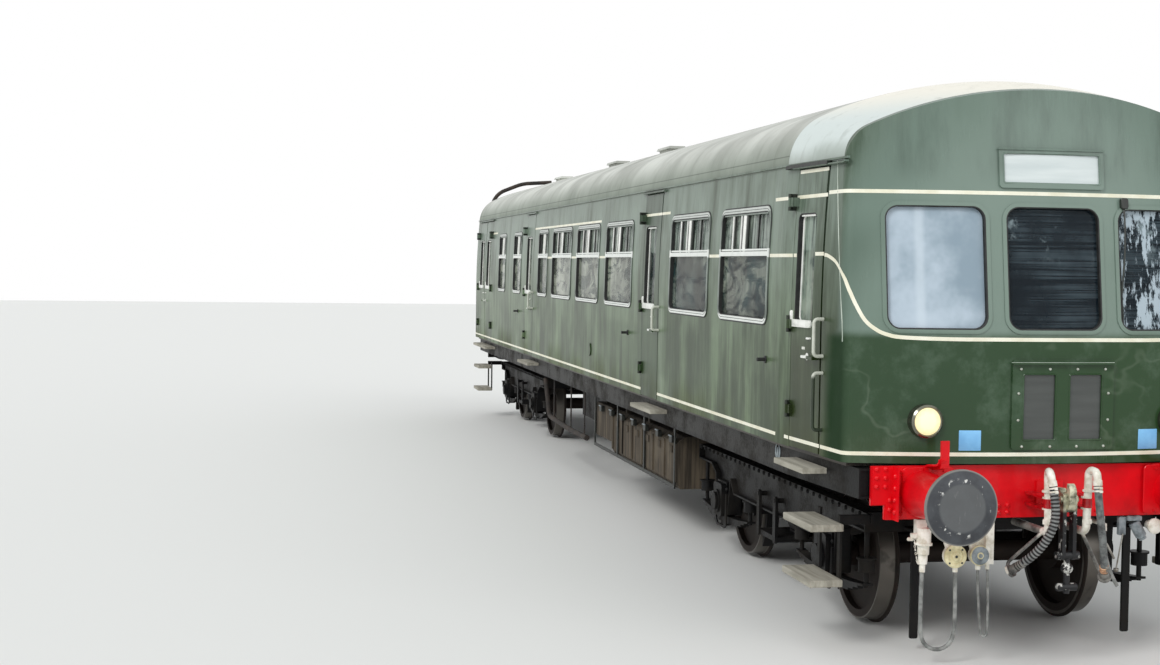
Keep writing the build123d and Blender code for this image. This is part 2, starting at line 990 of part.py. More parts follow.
with BuildSketch(face_plane) as box_outline:
    panel_outline(headcode_panel, 24, 0)
    panel_outline(destination_panel, 24, 0)
with BuildSketch(face_plane) as box_windows:
    for panel in headcode_windows + [destination_window]:
        panel_outline(panel, 14, 0)
with BuildSketch(face_plane) as blind_outline:
    for panel in headcode_windows + [destination_window]:
        panel_outline(panel, 13, run_gap)

with BuildPart() as indicator_boxes:
    add(on_face(box_outline.sketch - box_windows.sketch, face_proud, face_gap))

with BuildPart() as blinds:
    add(on_face(blind_outline.sketch, blind_proud, face_gap))

with BuildPart() as marker_lamps:
    for side in (-1, 1):
        seat_x = front_at(lamp_y) - 30
        face_x = front_at(lamp_y) + lamp_deep
        with BuildSketch(Plane.XZ.offset(-side * lamp_y)):
            with BuildLine():
                hub = Line((seat_x, lamp_z), (face_x + 12, lamp_z))
                lens = ThreePointArc(
                    hub @ 1,
                    (face_x + 9, lamp_z + lens_radius / 2),
                    (face_x, lamp_z + lens_radius),
                )
                Polyline(
                    lens @ 1,
                    (face_x + 6, lamp_z + lens_radius + 5),
                    (face_x - 4, lamp_z + lamp_radius),
                    (seat_x, lamp_z + lamp_radius + 6),
                    hub @ 0,
                )
            make_face()
        revolve(axis=Axis((0, side * lamp_y, lamp_z), (1, 0, 0)))
    add(front_space(-face_gap), mode=Mode.SUBTRACT)

# Sides: grab rails, door stops, rain strips and a filler


def side_at(x, z):
    """Distance of the side face from the centre line at a place on the body."""
    return half_at(x) - tumble_at(z)


def grab_rail(x, low, high):
    """Upright rail on two bent feet on the right side."""
    rail_gap = face_gap + rail_radius * taper_inset / taper_length
    with BuildPart() as rail:
        with BuildLine() as run:
            FilletPolyline(
                (x, -side_at(x, low) - rail_gap, low),
                (x, -side_at(x, low) - rail_reach, low),
                (x, -side_at(x, high) - rail_reach, high),
                (x, -side_at(x, high) - rail_gap, high),
                radius=rail_bend,
            )
        with BuildSketch(Plane(run.line @ 0, z_dir=run.line % 0)):
            Circle(rail_radius)
        sweep()
    return rail.part


with BuildPart() as grab_rails:
    cab_rail_x = cab_hinge_x + hinge_gap + cab_leaf_width + door_gap + rail_ahead
    for low, high in cab_rails:
        add(grab_rail(cab_rail_x, low, high))
    for rear_edge in passenger_doors:
        add(grab_rail(back(rear_edge) + leaf_width + door_gap + rail_ahead, *door_rail))
    mirror(about=Plane.XZ)

with BuildPart() as door_stops:
    places = [cab_hinge_x - cab_leaf_width + 8]
    places += [back(rear_edge) - leaf_width + 30 for rear_edge in passenger_doors]
    for x in places:
        base_y = -side_at(x, stop_z) - face_gap
        with BuildSketch(Plane.XZ.offset(-base_y)):
            with Locations((x, stop_z)):
                Circle(2 * stop_radius)
        extrude(amount=8)
        with BuildSketch(Plane.XZ.offset(-base_y)):
            with Locations((x, stop_z)):
                Circle(stop_radius)
        extrude(amount=stop_reach)
    mirror(about=Plane.XZ)


def side_plane(x, z):
    """Plane on the right side face, its x along the body and its normal outwards."""
    along = (1, 0, 0) if x <= taper_x else (taper_length, taper_inset, 0)
    outward = (0, -1, 0) if x <= taper_x else (taper_inset, -taper_length, 0)
    return Plane(origin=(x, -side_at(x, z) - face_gap, z), x_dir=along, z_dir=outward)


def door_hood(low_x, high_x):
    """Rain strip over a door, turned up at both ends."""
    length = high_x - low_x
    turn = 3 * hood_thick
    with BuildPart() as hood:
        with BuildSketch(side_plane(low_x, hood_z)):
            with BuildLine():
                Polyline(
                    (0, hood_lift),
                    (turn, 0),
                    (length - turn, 0),
                    (length, hood_lift),
                    (length, hood_lift + hood_thick),
                    (length - turn, hood_thick),
                    (turn, hood_thick),
                    (0, hood_lift + hood_thick),
                    close=True,
                )
            make_face()
        extrude(amount=hood_deep)
    return hood.part


with BuildPart() as rain_strips:
    add(door_hood(cab_hinge_x - 70, cab_hinge_x + cab_leaf_width + 2.5 * hood_over))
    for rear_edge in passenger_doors:
        add(door_hood(back(rear_edge) - hood_over, back(rear_edge) + leaf_width + hood_over))
    luggage_reach = luggage_leaf_width + hood_over
    add(door_hood(back(luggage_centre) - luggage_reach, back(luggage_centre) + luggage_reach))
    with BuildSketch(Plane.YZ.offset(rear_x)):
        with Locations((-gutter_half - face_gap - drip_width / 2, gutter_z + drip_deep)):
            Rectangle(drip_width, drip_deep)
    extrude(amount=taper_x - rear_x)
    with BuildSketch(Plane.YZ.offset(taper_x)):
        with Locations((-gutter_half - face_gap - drip_width / 2, gutter_z + drip_deep)):
            Rectangle(drip_width, drip_deep)
    strip_run = taper_length - front_bow - cab_corner
    extrude(amount=hypot(strip_run, taper_inset), dir=(taper_length, taper_inset, 0))
    with BuildSketch(side_plane(back(filler_back), filler_z)):
        Circle(filler_radius)
        with Locations((0, filler_radius)):
            Rectangle(filler_radius, 24)
    extrude(amount=12)
    mirror(about=Plane.XZ)

# Roof vents, and the two exhaust stacks up the rear end

with BuildPart() as full_roof:
    extrude(
        arch(Plane.YZ.offset(rear_x), gutter_half, crown_z, roof_shoulder, gutter_z - 20),
        amount=body_length,
    )

with BuildPart() as roof_vents:
    for x in vent_places:
        for side in (-1, 1):
            low = crown_z - 60
            top = crown_z + vent_rise
            with BuildSketch(Plane.YZ.offset(-x - vent_length / 2)):
                with Locations((side * vent_y, (low + top - vent_cap) / 2)):
                    Rectangle(vent_width - 2 * vent_cap, top - vent_cap - low)
            extrude(amount=vent_length)
            with BuildSketch(Plane.YZ.offset(-x - vent_length / 2 - vent_cap)):
                with BuildLine():
                    Polyline(
                        (side * vent_y - vent_width / 2, top - vent_cap),
                        (side * vent_y + vent_width / 2, top - vent_cap),
                        (side * vent_y + vent_width / 2 - vent_cap / 2, top),
                        (side * vent_y - vent_width / 2 + vent_cap / 2, top),
                        close=True,
                    )
                make_face()
            extrude(amount=vent_length + 2 * vent_cap)
    add(full_roof.part, mode=Mode.SUBTRACT)

with BuildPart() as exhaust_pipes:
    for side in (-1, 1):
        stack = [(rear_x - stack_off, side * y, z) for y, z in stack_route]
        add(round_bar(stack, [330, 700], 2 * stack_radius))
        for z in stack_clips:
            with Locations((rear_x - stack_off / 2 - face_gap, side * stack_route[0][0], z)):
                Box(stack_off, 24, 40)
        silencer = [(x, side * silencer_y, z) for x, z in silencer_route]
        add(round_bar(silencer, [180, 200], silencer_pipe))
        for x, z in silencer_clips:
            with Locations((x, side * silencer_y, (z + sole_bottom - face_gap) / 2)):
                Box(30, 12, sole_bottom - face_gap - z)

# Interior: seats, bulkheads and the driver's desk


def seat_row(x, centre_y, width):
    """One double seat: rounded cushion on a plinth, with a leaning padded back."""
    heel = x - seat_depth / 2
    toe = x + seat_depth / 2
    rest = heel - seat_back_thick
    top_z = floor_z + seat_back_height
    cushion_z = floor_z + seat_height
    plinth_z = floor_z + seat_plinth
    with BuildPart() as seat:
        with BuildSketch(Plane.XZ.offset(-centre_y - width / 2)):
            with BuildLine():
                front = Line((toe - seat_nose, plinth_z), (toe - seat_nose / 3, plinth_z))
                nose = ThreePointArc(front @ 1, (toe, cushion_z - seat_nose), (toe - seat_nose, cushion_z))
                padding = Line(nose @ 1, (heel, cushion_z - 20))
                face = Line(padding @ 1, (heel - seat_lean, top_z - 50))
                roll = ThreePointArc(
                    face @ 1,
                    (heel - seat_lean - seat_back_thick / 2, top_z),
                    (rest - seat_lean, top_z - 50),
                )
                Polyline(
                    roll @ 1,
                    (rest, plinth_z),
                    (rest, floor_z),
                    (toe - seat_nose, floor_z),
                    front @ 0,
                )
            make_face()
        extrude(amount=width)
    return seat.part


with BuildPart() as seats:
    for low, high in seat_bays:
        count = int((high - low) / seat_pitch)
        for step in range(count):
            x = back(low + seat_pitch * (step + 0.5) - seat_shift)
            for side in (-1, 1):
                seat_y = side * (half_width - wall - seat_wall_gap - seat_width / 2)
                add(seat_row(x, seat_y, seat_width))
    for y in (-cab_seat_y, cab_seat_y):
        add(seat_row(back(cab_bulkhead) + cab_seat_ahead, y, cab_seat_width))

with BuildPart() as bulkheads:
    for place in bulkhead_places:
        add(cross_wall(back(place), bulkhead_thick, (passage_width, passage_height)))
    glazed_x = back(bulkhead_places[1]) + bulkhead_thick
    with BuildSketch(Plane.YZ.offset(glazed_x)):
        width, height, centre_y, rise = partition_window
        for side in (-1, 1):
            with Locations((side * centre_y, floor_z + rise + height / 2)):
                RectangleRounded(width, height, window_corner)
    extrude(amount=taper_x + taper_length - glazed_x, mode=Mode.SUBTRACT)
    split(bisect_by=Plane.XY.offset(floor_z), keep=Keep.TOP)

with BuildPart() as cab_desk:
    desk_back = cab_floor_x - desk_depth
    with BuildSketch(Plane.XZ.offset(-desk_half)):
        with BuildLine():
            Polyline(
                (desk_back + 140, floor_z),
                (desk_back, floor_z + desk_height - 170),
                (desk_back, floor_z + desk_height - 120),
                (desk_back + 230, floor_z + desk_height),
                (cab_floor_x + front_bow, floor_z + desk_height),
                (cab_floor_x + front_bow, floor_z),
                close=True,
            )
        make_face()
    extrude(amount=2 * desk_half)
    add(front_space(wall + face_gap), mode=Mode.INTERSECT)
    for y in (-cab_seat_y, cab_seat_y):
        with Locations((desk_back + 120, y, floor_z + desk_height - 30)):
            Cylinder(75, 60)

# Red buffer beam with stepped end gussets and the front buffer housings

with BuildPart() as buffer_beam:
    with BuildSketch(Plane.YZ.offset(beam_x)):
        with BuildLine():
            Polyline(
                (-beam_half, beam_top),
                (beam_half, beam_top),
                (beam_half, beam_step_z),
                (beam_foot_half, beam_step_z),
                (beam_foot_half, beam_bottom),
                (-beam_foot_half, beam_bottom),
                (-beam_foot_half, beam_step_z),
                (-beam_half, beam_step_z),
                close=True,
            )
        make_face()
    extrude(amount=beam_thick)
    for side in (-1, 1):
        face_x = beam_x + beam_thick
        with BuildSketch(Plane.YZ.offset(face_x)):
            with BuildLine():
                Polyline(
                    (side * gusset_in, beam_top),
                    (side * (beam_half - 6), beam_top),
                    (side * (beam_half - 6), beam_step_z + 6),
                    (side * (beam_foot_half - 6), beam_step_z + 6),
                    (side * (beam_foot_half - 6), beam_bottom),
                    (side * gusset_in, beam_bottom),
                    close=True,
                )
            make_face()
        extrude(amount=gusset_thick)
        with Locations((face_x + 45, side * (gusset_in + 8), (beam_top + beam_bottom) / 2)):
            Box(90, gusset_thick, beam_top - beam_bottom)
        with BuildSketch(Plane.YZ.offset(face_x)):
            with Locations((side * buffer_y, buffer_z + 8)):
                RectangleRounded(housing_plate, housing_plate, 30)
        extrude(amount=18)
        with BuildSketch(Plane.YZ.offset(face_x)):
            with Locations((side * buffer_y, buffer_z)):
                Circle(housing_radius + 25)
        with BuildSketch(Plane.YZ.offset(buffer_reach - buffer_stroke)):
            with Locations((side * buffer_y, buffer_z)):
                Circle(housing_radius)
        loft()
        with Locations((buffer_reach, side * buffer_y, buffer_z)):
            Cylinder(
                plunger_radius + fit_gap,
                2 * (buffer_reach - face_x - 40),
                rotation=(0, 90, 0),
                mode=Mode.SUBTRACT,
            )

    for side in (-1, 1):
        plate_x = beam_x + beam_thick + 10
        with BuildSketch(Plane.XZ.offset(-side * lamp_iron_y)):
            with BuildLine():
                Polyline(
                    (plate_x, iron_foot),
                    (plate_x, iron_foot + 15),
                    (lamp_iron_x - 14, iron_foot + 38),
                    (lamp_iron_x - 14, iron_top),
                    (lamp_iron_x, iron_top),
                    (lamp_iron_x, iron_foot + 25),
                    (plate_x + 50, iron_foot),
                    close=True,
                )
            make_face()
        extrude(amount=side * 55)

with BuildPart() as rear_headstock:
    with Locations((rear_x + 25, 0, buffer_z)):
        Box(50, 2 * beam_half, sole_top - beam_bottom - 10)
    for side in (-1, 1):
        with BuildSketch(Plane.YZ.offset(rear_x)):
            with Locations((side * buffer_y, buffer_z)):
                Circle(housing_radius + 25)
        with BuildSketch(Plane.YZ.offset(-buffer_reach + buffer_stroke)):
            with Locations((side * buffer_y, buffer_z)):
                Circle(housing_radius)
        loft()
        with Locations((-buffer_reach, side * buffer_y, buffer_z)):
            Cylinder(
                plunger_radius + fit_gap,
                2 * (buffer_reach + rear_x - 40),
                rotation=(0, 90, 0),
                mode=Mode.SUBTRACT,
            )

with BuildPart() as buffer_heads:
    for end, seat_x in ((1, beam_x + beam_thick + 42), (-1, rear_x - 42)):
        for side in (-1, 1):
            tip = end * buffer_reach
            with BuildSketch(Plane.XZ.offset(-side * buffer_y)):
                with BuildLine():
                    Polyline(
                        (tip, buffer_z),
                        (tip, buffer_z + buffer_flat),
                        (tip - end * buffer_dish, buffer_z + buffer_head / 2),
                        (tip - end * (buffer_dish + buffer_rim), buffer_z + buffer_head / 2),
                        (tip - end * (buffer_dish + 2 * buffer_rim), buffer_z + plunger_radius),
                        (seat_x, buffer_z + plunger_radius),
                        (seat_x, buffer_z),
                        close=True,
                    )
                make_face()
            revolve(axis=Axis((0, side * buffer_y, buffer_z), (1, 0, 0)))

# Front equipment: swan-neck brake pipes, jumper sockets and plug, lamp irons


with BuildPart() as brake_pipes:
    for route in (hose_left, hose_right):
        side = -1 if route[0][1] < 0 else 1
        mouth = Vector(*route[0])
        step = mouth - Vector(*route[1])
        elbow = mouth + step * 0.75
        end = Vector(*route[-1])
        away = end - Vector(*route[-2])
        pipe = [
            (pipe_back, side * pipe_y, pipe_z),
            (pipe_x, side * pipe_y, pipe_z),
            (pipe_x, side * (pipe_y + 10), elbow.Z + 8),
            (elbow.X, elbow.Y, elbow.Z),
            (mouth.X, mouth.Y, mouth.Z),
        ]
        add(round_bar(pipe, [45, 34, 30], pipe_thick))
        add(collar(route[0], route[1], [(hose_thick / 2 + 5, 34)]))
        add(collar(route[-1], route[-2], [(hose_thick / 2 + 6, 46), (hose_thick / 2 + 18, 16)]))
        rest = end + away.normalized() * 48
        foot = (pipe_x - 60, side * pipe_y, pipe_z)
        knee = (rest.X - 70, rest.Y, rest.Z + 30)
        add(round_bar([foot, knee, (rest.X, rest.Y, rest.Z)], [30], 22))
        for z in (1010, 1080):
            with Locations(((beam_x + beam_thick + pipe_x) / 2, side * (pipe_y + 3), z)):
                Box(pipe_x - beam_x - beam_thick - 2 * face_gap, 60, 12)

with BuildPart() as jumper_gear:
    bracket_top = beam_bottom - face_gap
    plug_y = cable_loop[0][1]
    plug_z = cable_loop[0][2]
    add(collar(cable_loop[0], cable_loop[1], [(19, 52), (30, 60), (38, 60), (56, 14), (46, 92)]))
    shelf_ends = (socket_places[0][0] - 110, socket_places[1][0] + 50)
    with Locations(((beam_x + jumper_x) / 2, sum(shelf_ends) / 2, bracket_top - 6)):
        Box(jumper_x - beam_x, shelf_ends[1] - shelf_ends[0], 12)
    with Locations((jumper_x - 40, plug_y, (bracket_top + plug_z + 200) / 2)):
        Box(50, 70, bracket_top - plug_z - 200)
    for route, y, z, radius in (
        (cable_loop[::-1], socket_places[0][0], socket_places[0][1], 70),
        (cable_pair, socket_places[1][0], socket_places[1][1], 60),
    ):
        with Locations((jumper_x, y, z)):
            Cylinder(radius, 44, rotation=(0, 90, 0))
            Cylinder(radius / 3, 60, rotation=(0, 90, 0))
        add(collar(route[0], route[1], [(17, 50), (26, 30)]))
        with BuildSketch(Plane.YZ.offset(jumper_x - 18)):
            with BuildLine():
                Polyline(
                    (y - 40, z),
                    (y - 110, bracket_top),
                    (y + 50, bracket_top),
                    (y + 40, z),
                    close=True,
                )
            make_face()
        extrude(amount=14)
    box_y, box_z = cable_pair[-1][1], cable_pair[-1][2]
    add(collar(cable_pair[-1], cable_pair[-2], [(14, 40)]))
    with Locations((jumper_x, box_y, (box_z + 36 + bracket_top) / 2)):
        Box(60, 54, bracket_top - box_z - 36)
    add(collar(thin_hose[0], thin_hose[1], [(17, 46)]))
    top = Vector(*thin_hose[0])
    elbow = top + (top - Vector(*thin_hose[1])).normalized() * 42
    add(round_bar([(beam_x - 150, elbow.Y, elbow.Z), tuple(elbow), tuple(top)], [20], 30))
    with Locations((jumper_x - 30, elbow.Y, (elbow.Z + bracket_top) / 2)):
        Box(30, 24, bracket_top - elbow.Z)

# Couplings: a drawhook with a screw coupling hung from it, at both ends

with BuildPart() as couplings:
    for end, seat_x in ((1, beam_x + beam_thick), (-1, rear_x)):
        tip = seat_x + end * hook_reach
        throat = tip - end * 70
        with BuildSketch(Plane.XZ):
            with BuildLine():
                shank = Polyline(
                    (throat - end * 70, hook_z + 50),
                    (seat_x + end * face_gap, hook_z + 40),
                    (seat_x + end * face_gap, hook_z - 40),
                    (throat - end * 60, hook_z - 62),
                )
                belly = ThreePointArc(shank @ 1, (tip - end * 12, hook_z - 66), (tip, hook_z + 10))
                beak = ThreePointArc(belly @ 1, (tip + end * 4, hook_z + 52), (tip - end * 34, hook_z + 92))
                Polyline(beak @ 1, (tip - end * 44, hook_z + 40), (throat - end * 30, hook_z + 24), shank @ 0)
            make_face()
        extrude(amount=hook_thick / 2, both=True)
        with Locations((seat_x + end * (face_gap + 10), 0, hook_z)):
            Box(20, 180, 150)
        screw_x = seat_x + end * shackle_back
        for side in (-1, 1):
            with BuildSketch(Plane.XZ.offset(-side * (hook_thick / 2 + 12) - 12)):
                with Locations((screw_x, hook_z - 180)):
                    RectangleRounded(54, 420, 26)
            extrude(amount=24)
        with Locations((screw_x, 0, hook_z - 10)):
            Cylinder(20, 120, rotation=(90, 0, 0))
        with Locations((screw_x, 0, hook_z - 360)):
            Cylinder(27, 150, rotation=(90, 0, 0))
        with Locations((screw_x, 0, hook_z - 480)):
            Cylinder(19, 240)
        with Locations((screw_x, 0, hook_z - 440)):
            Sphere(38)
        with Locations((screw_x, 0, hook_z - 560)):
            Cylinder(25, 130, rotation=(90, 0, 0))

# Bogies


def side_frame_outline(plane, centre, inset):
    """Side view of a bogie side frame: straight top, deep middle, and horns either side of a box."""
    half_end = bogie_frame_length / 2
    axle = bogie_base / 2
    slot = box_width / 2 + horn_gap
    leg = slot + horn_width
    right = [
        (half_end, frame_top),
        (half_end, frame_top - end_depth),
        (axle + leg + 160, frame_top - end_depth),
        (axle + leg + 20, frame_arch),
        (axle + leg, horn_foot),
        (axle + slot, horn_foot),
        (axle + slot, box_top + horn_gap),
        (axle - slot, box_top + horn_gap),
        (axle - slot, horn_foot),
        (axle - leg, horn_foot),
        (axle - leg - 60, frame_arch),
        (axle - leg - 160, frame_waist),
    ]
    left = [(-x, z) for x, z in reversed(right)]
    with BuildSketch(plane) as outline:
        with BuildLine():
            Polyline([(centre + x, z) for x, z in right + left], close=True)
        make_face()
        if inset:
            offset(amount=-inset, mode=Mode.REPLACE)
    return outline.sketch


def bogie_frame(centre):
    """Two channel side frames joined by transoms and end beams."""
    with BuildPart() as frame:
        for side in (-1, 1):
            near = Plane.XZ.offset(-side * (journal_y - frame_broad / 2))
            extrude(side_frame_outline(near, centre, 0), amount=-side * frame_broad)
            pocket = (frame_broad - frame_web) / 2
            extrude(
                side_frame_outline(near, centre, frame_web),
                amount=-side * pocket,
                mode=Mode.SUBTRACT,
            )
            far = Plane.XZ.offset(-side * (journal_y + frame_broad / 2))
            extrude(
                side_frame_outline(far, centre, frame_web),
                amount=side * pocket,
                mode=Mode.SUBTRACT,
            )
        inner = 2 * (journal_y - frame_broad / 2)
        for end in (-1, 1):
            with Locations((centre + end * transom_x, 0, frame_top - transom_depth / 2)):
                Box(transom_thick, inner, transom_depth)
            end_x = centre + end * (bogie_frame_length / 2 - end_beam_thick / 2)
            with Locations((end_x, 0, frame_top - end_depth / 2)):
                Box(end_beam_thick, inner, end_depth)
            axle = centre + end * bogie_base / 2
            slot = box_width / 2 + horn_gap
            leg = slot + horn_width
            for side in (-1, 1):
                face = side * (journal_y + frame_broad / 2)
                with BuildSketch(Plane.XZ.offset(-face)):
                    with BuildLine():
                        Polyline(
                            (axle - leg + 6, stay_top),
                            (axle - leg + 6, stay_low + 34),
                            (axle - leg + 60, stay_low),
                            (axle + leg - 60, stay_low),
                            (axle + leg - 6, stay_low + 34),
                            (axle + leg - 6, stay_top),
                            (axle + leg - 26, stay_top),
                            (axle + slot + 4, stay_low + 50),
                            (axle + slot - 30, stay_low + 20),
                            (axle - slot + 30, stay_low + 20),
                            (axle - slot - 4, stay_low + 50),
                            (axle - leg + 26, stay_top),
                            close=True,
                        )
                    make_face()
                extrude(amount=-side * stay_thick)
                for along in (-1, 1):
                    pin_y = side * (journal_y + pin_length / 2)
                    with Locations((centre + along * link_x, pin_y, link_top)):
                        Cylinder(link_pin, pin_length, rotation=(90, 0, 0))
    return frame


def leaf_stack(plane, centre, reach, camber, leaf, count, shorten):
    """Side view of curved leaves laid on one another, each shorter than the one above."""
    middle_x, middle_z = centre
    with BuildSketch(plane) as stack:
        for row in range(count):
            half = reach - row * shorten
            rise = camber * (half / reach) ** 2
            high = middle_z - row * leaf + (1 if row else 0)
            low = middle_z - (row + 1) * leaf
            with BuildLine():
                upper = ThreePointArc(
                    (middle_x - half, high + rise), (middle_x, high), (middle_x + half, high + rise)
                )
                lower = ThreePointArc(
                    (middle_x - half, low + rise), (middle_x, low), (middle_x + half, low + rise)
                )
                Line(upper @ 0, lower @ 0)
                Line(upper @ 1, lower @ 1)
            make_face()
    return stack.sketch


def bogie_bolster(centre):
    """Swing bolster on elliptic springs on a spring plank, hung from the side frames by links."""
    with BuildPart() as bolster:
        deep = bogie_bolster_depth
        bolster_seat = bolster_top - deep * 0.7
        for turn in (-1, 1):
            with BuildSketch(Plane.YZ.offset(centre - bogie_bolster_width / 2)):
                with BuildLine():
                    Polyline(
                        (0, bolster_top),
                        (turn * bogie_bolster_half, bolster_top - 40),
                        (turn * bogie_bolster_half, bolster_seat),
                        (turn * (bogie_bolster_half - 220), bolster_seat),
                        (turn * (bogie_bolster_half - 420), bolster_top - deep),
                        (0, bolster_top - deep),
                        close=True,
                    )
                make_face()
            extrude(amount=bogie_bolster_width)
        with Locations((centre, 0, bolster_top - 20)):
            Cylinder(180, 40)
        with Locations((centre, 0, bolster_top)):
            Cylinder(pivot_pin + fit_gap, 2 * pivot_depth, mode=Mode.SUBTRACT)
        plank_half = journal_y + frame_broad / 2 + 8
        with Locations((centre, 0, plank_z)):
            Box(plank_width, 2 * plank_half, plank_thick)
        for side in (-1, 1):
            link_y = side * (journal_y + frame_broad / 2 + face_gap + link_thick / 2)
            for along in (-1, 1):
                with BuildSketch(Plane.XZ.offset(-link_y - link_thick / 2)):
                    with Locations((centre + along * link_x, (link_top + plank_z) / 2)):
                        RectangleRounded(2 * link_half, link_top - plank_z + 2 * link_half, link_half - 1)
                    with Locations((centre + along * link_x, link_top)):
                        Circle(link_pin + fit_gap, mode=Mode.SUBTRACT)
                extrude(amount=link_thick)
            low = plank_z + plank_thick / 2
            high = bolster_seat
            middle = (low + high) / 2
            spring_y = side * (bogie_bolster_half - 110)
            for pad_z in (low, high):
                with Locations((centre, spring_y, pad_z)):
                    Box(130, 110, 40)
            for turn in (-1, 1):
                with BuildSketch(Plane.XZ.offset(-spring_y - 45)):
                    outer = abs(high - middle)
                    with BuildLine():
                        bow = ThreePointArc(
                            (centre - spring_length / 2, middle),
                            (centre, middle + turn * outer),
                            (centre + spring_length / 2, middle),
                        )
                        inner = ThreePointArc(
                            (centre - spring_length / 2, middle),
                            (centre, middle + turn * (outer - spring_stack)),
                            (centre + spring_length / 2, middle),
                        )
                    make_face()
                extrude(amount=90)
            for along in (-1, 1):
                with Locations((centre + along * (spring_length / 2 - 12), spring_y, middle)):
                    Cylinder(22, 110, rotation=(90, 0, 0))
    return bolster


def bogie_boxes(centre):
    """Axleboxes, bored for the journals, with rounded corners and a domed cover."""
    with BuildPart() as boxes:
        for end in (-1, 1):
            x = centre + end * bogie_base / 2
            for side in (-1, 1):
                inner_y = side * (journal_y - box_broad / 2)
                cover_y = side * (journal_y + box_broad / 2)
                with BuildSketch(Plane.XZ.offset(-inner_y)):
                    with Locations((x, (box_top + box_foot) / 2)):
                        RectangleRounded(box_width, box_top - box_foot, 34)
                extrude(amount=-side * box_broad)
                with BuildSketch(Plane.XZ.offset(-cover_y)):
                    with Locations((x, axle_z)):
                        Circle(98)
                extrude(amount=-side * 16)
                with BuildSketch(Plane.XZ.offset(-cover_y - side * 16)):
                    with Locations((x, axle_z)):
                        Circle(76)
                extrude(amount=-side * 22)
                with Locations((x, inner_y, axle_z)):
                    Cylinder(
                        journal_radius + fit_gap,
                        2 * (journal_end - journal_y + box_broad / 2 + 4),
                        rotation=(90, 0, 0),
                        mode=Mode.SUBTRACT,
                    )
    return boxes


def bogie_springs(centre):
    """Long bearing springs under the axleboxes, hung at their ends from cups under the frame."""
    with BuildPart() as springs:
        for end in (-1, 1):
            x = centre + end * bogie_base / 2
            for side in (-1, 1):
                spring_top = box_foot - face_gap
                outer = side * journal_y + 37
                outline = leaf_stack(
                    Plane.XZ.offset(-outer),
                    (x, spring_top),
                    bearing_spring / 2,
                    bearing_camber,
                    bearing_leaf,
                    bearing_leaves,
                    90,
                )
                extrude(outline, amount=74)
                buckle = bearing_leaves * bearing_leaf + 24
                with Locations((x, side * journal_y, spring_top - buckle / 2)):
                    Box(100, 92, buckle)
                for reach in (-1, 1):
                    hang_x = x + reach * (bearing_spring / 2 - 30)
                    hang_top = frame_waist if reach == -end else frame_top - end_depth
                    hang_top -= face_gap
                    hang_low = spring_top + bearing_camber - 30
                    with Locations((hang_x, side * journal_y, (hang_top + hang_low) / 2)):
                        Cylinder(17, hang_top - hang_low)
                    with Locations((hang_x, side * journal_y, cup_z)):
                        Cylinder(cup_radius, cup_height)
                    with Locations((hang_x, side * journal_y, cup_z + cup_height / 2)):
                        Cylinder(cup_radius + 12, 12)
    return springs


def bogie_brakes(centre):
    """A beam across the bogie for each axle, with a shoe at each wheel, hung from the side frames."""
    with BuildPart() as brakes:
        for end in (-1, 1):
            axle = centre + end * bogie_base / 2
            beam = axle - end * (wheel_diameter / 2 + shoe_gap + shoe_thick + 30)
            inner = 2 * (journal_y - frame_broad / 2)
            with Locations((beam, 0, axle_z)):
                Box(50, inner, 70)
            for side in (-1, 1):
                with BuildSketch(Plane.XZ.offset(-side * (wheel_back + wheel_width / 2 + 12) - 40)):
                    with Locations((axle, axle_z)):
                        Circle(wheel_diameter / 2 + shoe_gap + shoe_thick)
                        Circle(wheel_diameter / 2 + shoe_gap, mode=Mode.SUBTRACT)
                    with Locations((axle + end * 260, axle_z)):
                        Rectangle(1300, 1300, mode=Mode.SUBTRACT)
                    with Locations((beam, axle_z)):
                        Rectangle(60, 60)
                extrude(amount=80)
                with Locations((beam, side * (journal_y - frame_broad / 2 - 10), (axle_z + frame_waist) / 2)):
                    Box(50, 20, frame_waist - axle_z + 90)
    return brakes


def wheelset(x):
    """Two wheels on one axle with journals outside them: a single turned form."""
    tread = wheel_diameter / 2
    face = wheel_back + wheel_width
    with BuildPart() as unit:
        for side in (-1, 1):
            half = [
                (0, 0),
                (0, axle_radius),
                (wheel_back - 20, axle_radius),
                (wheel_back - 20, hub_radius),
                (wheel_back + 45, hub_radius + 8),
                (wheel_back + 60, tread - rim_depth),
                (wheel_back, tread - rim_depth),
                (wheel_back, tread + flange_depth - 12),
                (wheel_back + 10, tread + flange_depth),
                (wheel_back + 20, tread + flange_depth),
                (wheel_back + 34, tread + tread_cone),
                (face, tread - tread_cone),
                (face, tread - rim_depth),
                (wheel_back + 90, tread - rim_depth),
                (wheel_back + 80, hub_radius),
                (face + 20, hub_radius - 10),
                (face + 20, axle_radius + 10),
                (journal_y - journal_length / 2 - 10, axle_radius + 10),
                (journal_y - journal_length / 2 - 10, journal_radius),
                (journal_end, journal_radius),
                (journal_end, 0),
            ]
            with BuildSketch(Plane.YZ.offset(x)):
                with BuildLine():
                    Polyline([(side * y, axle_z + r) for y, r in half], close=True)
                make_face()
            revolve(axis=Axis((x, 0, axle_z), (0, 1, 0)))
    return unit


# Step boards on the bogies, under the cab doors and the luggage doors


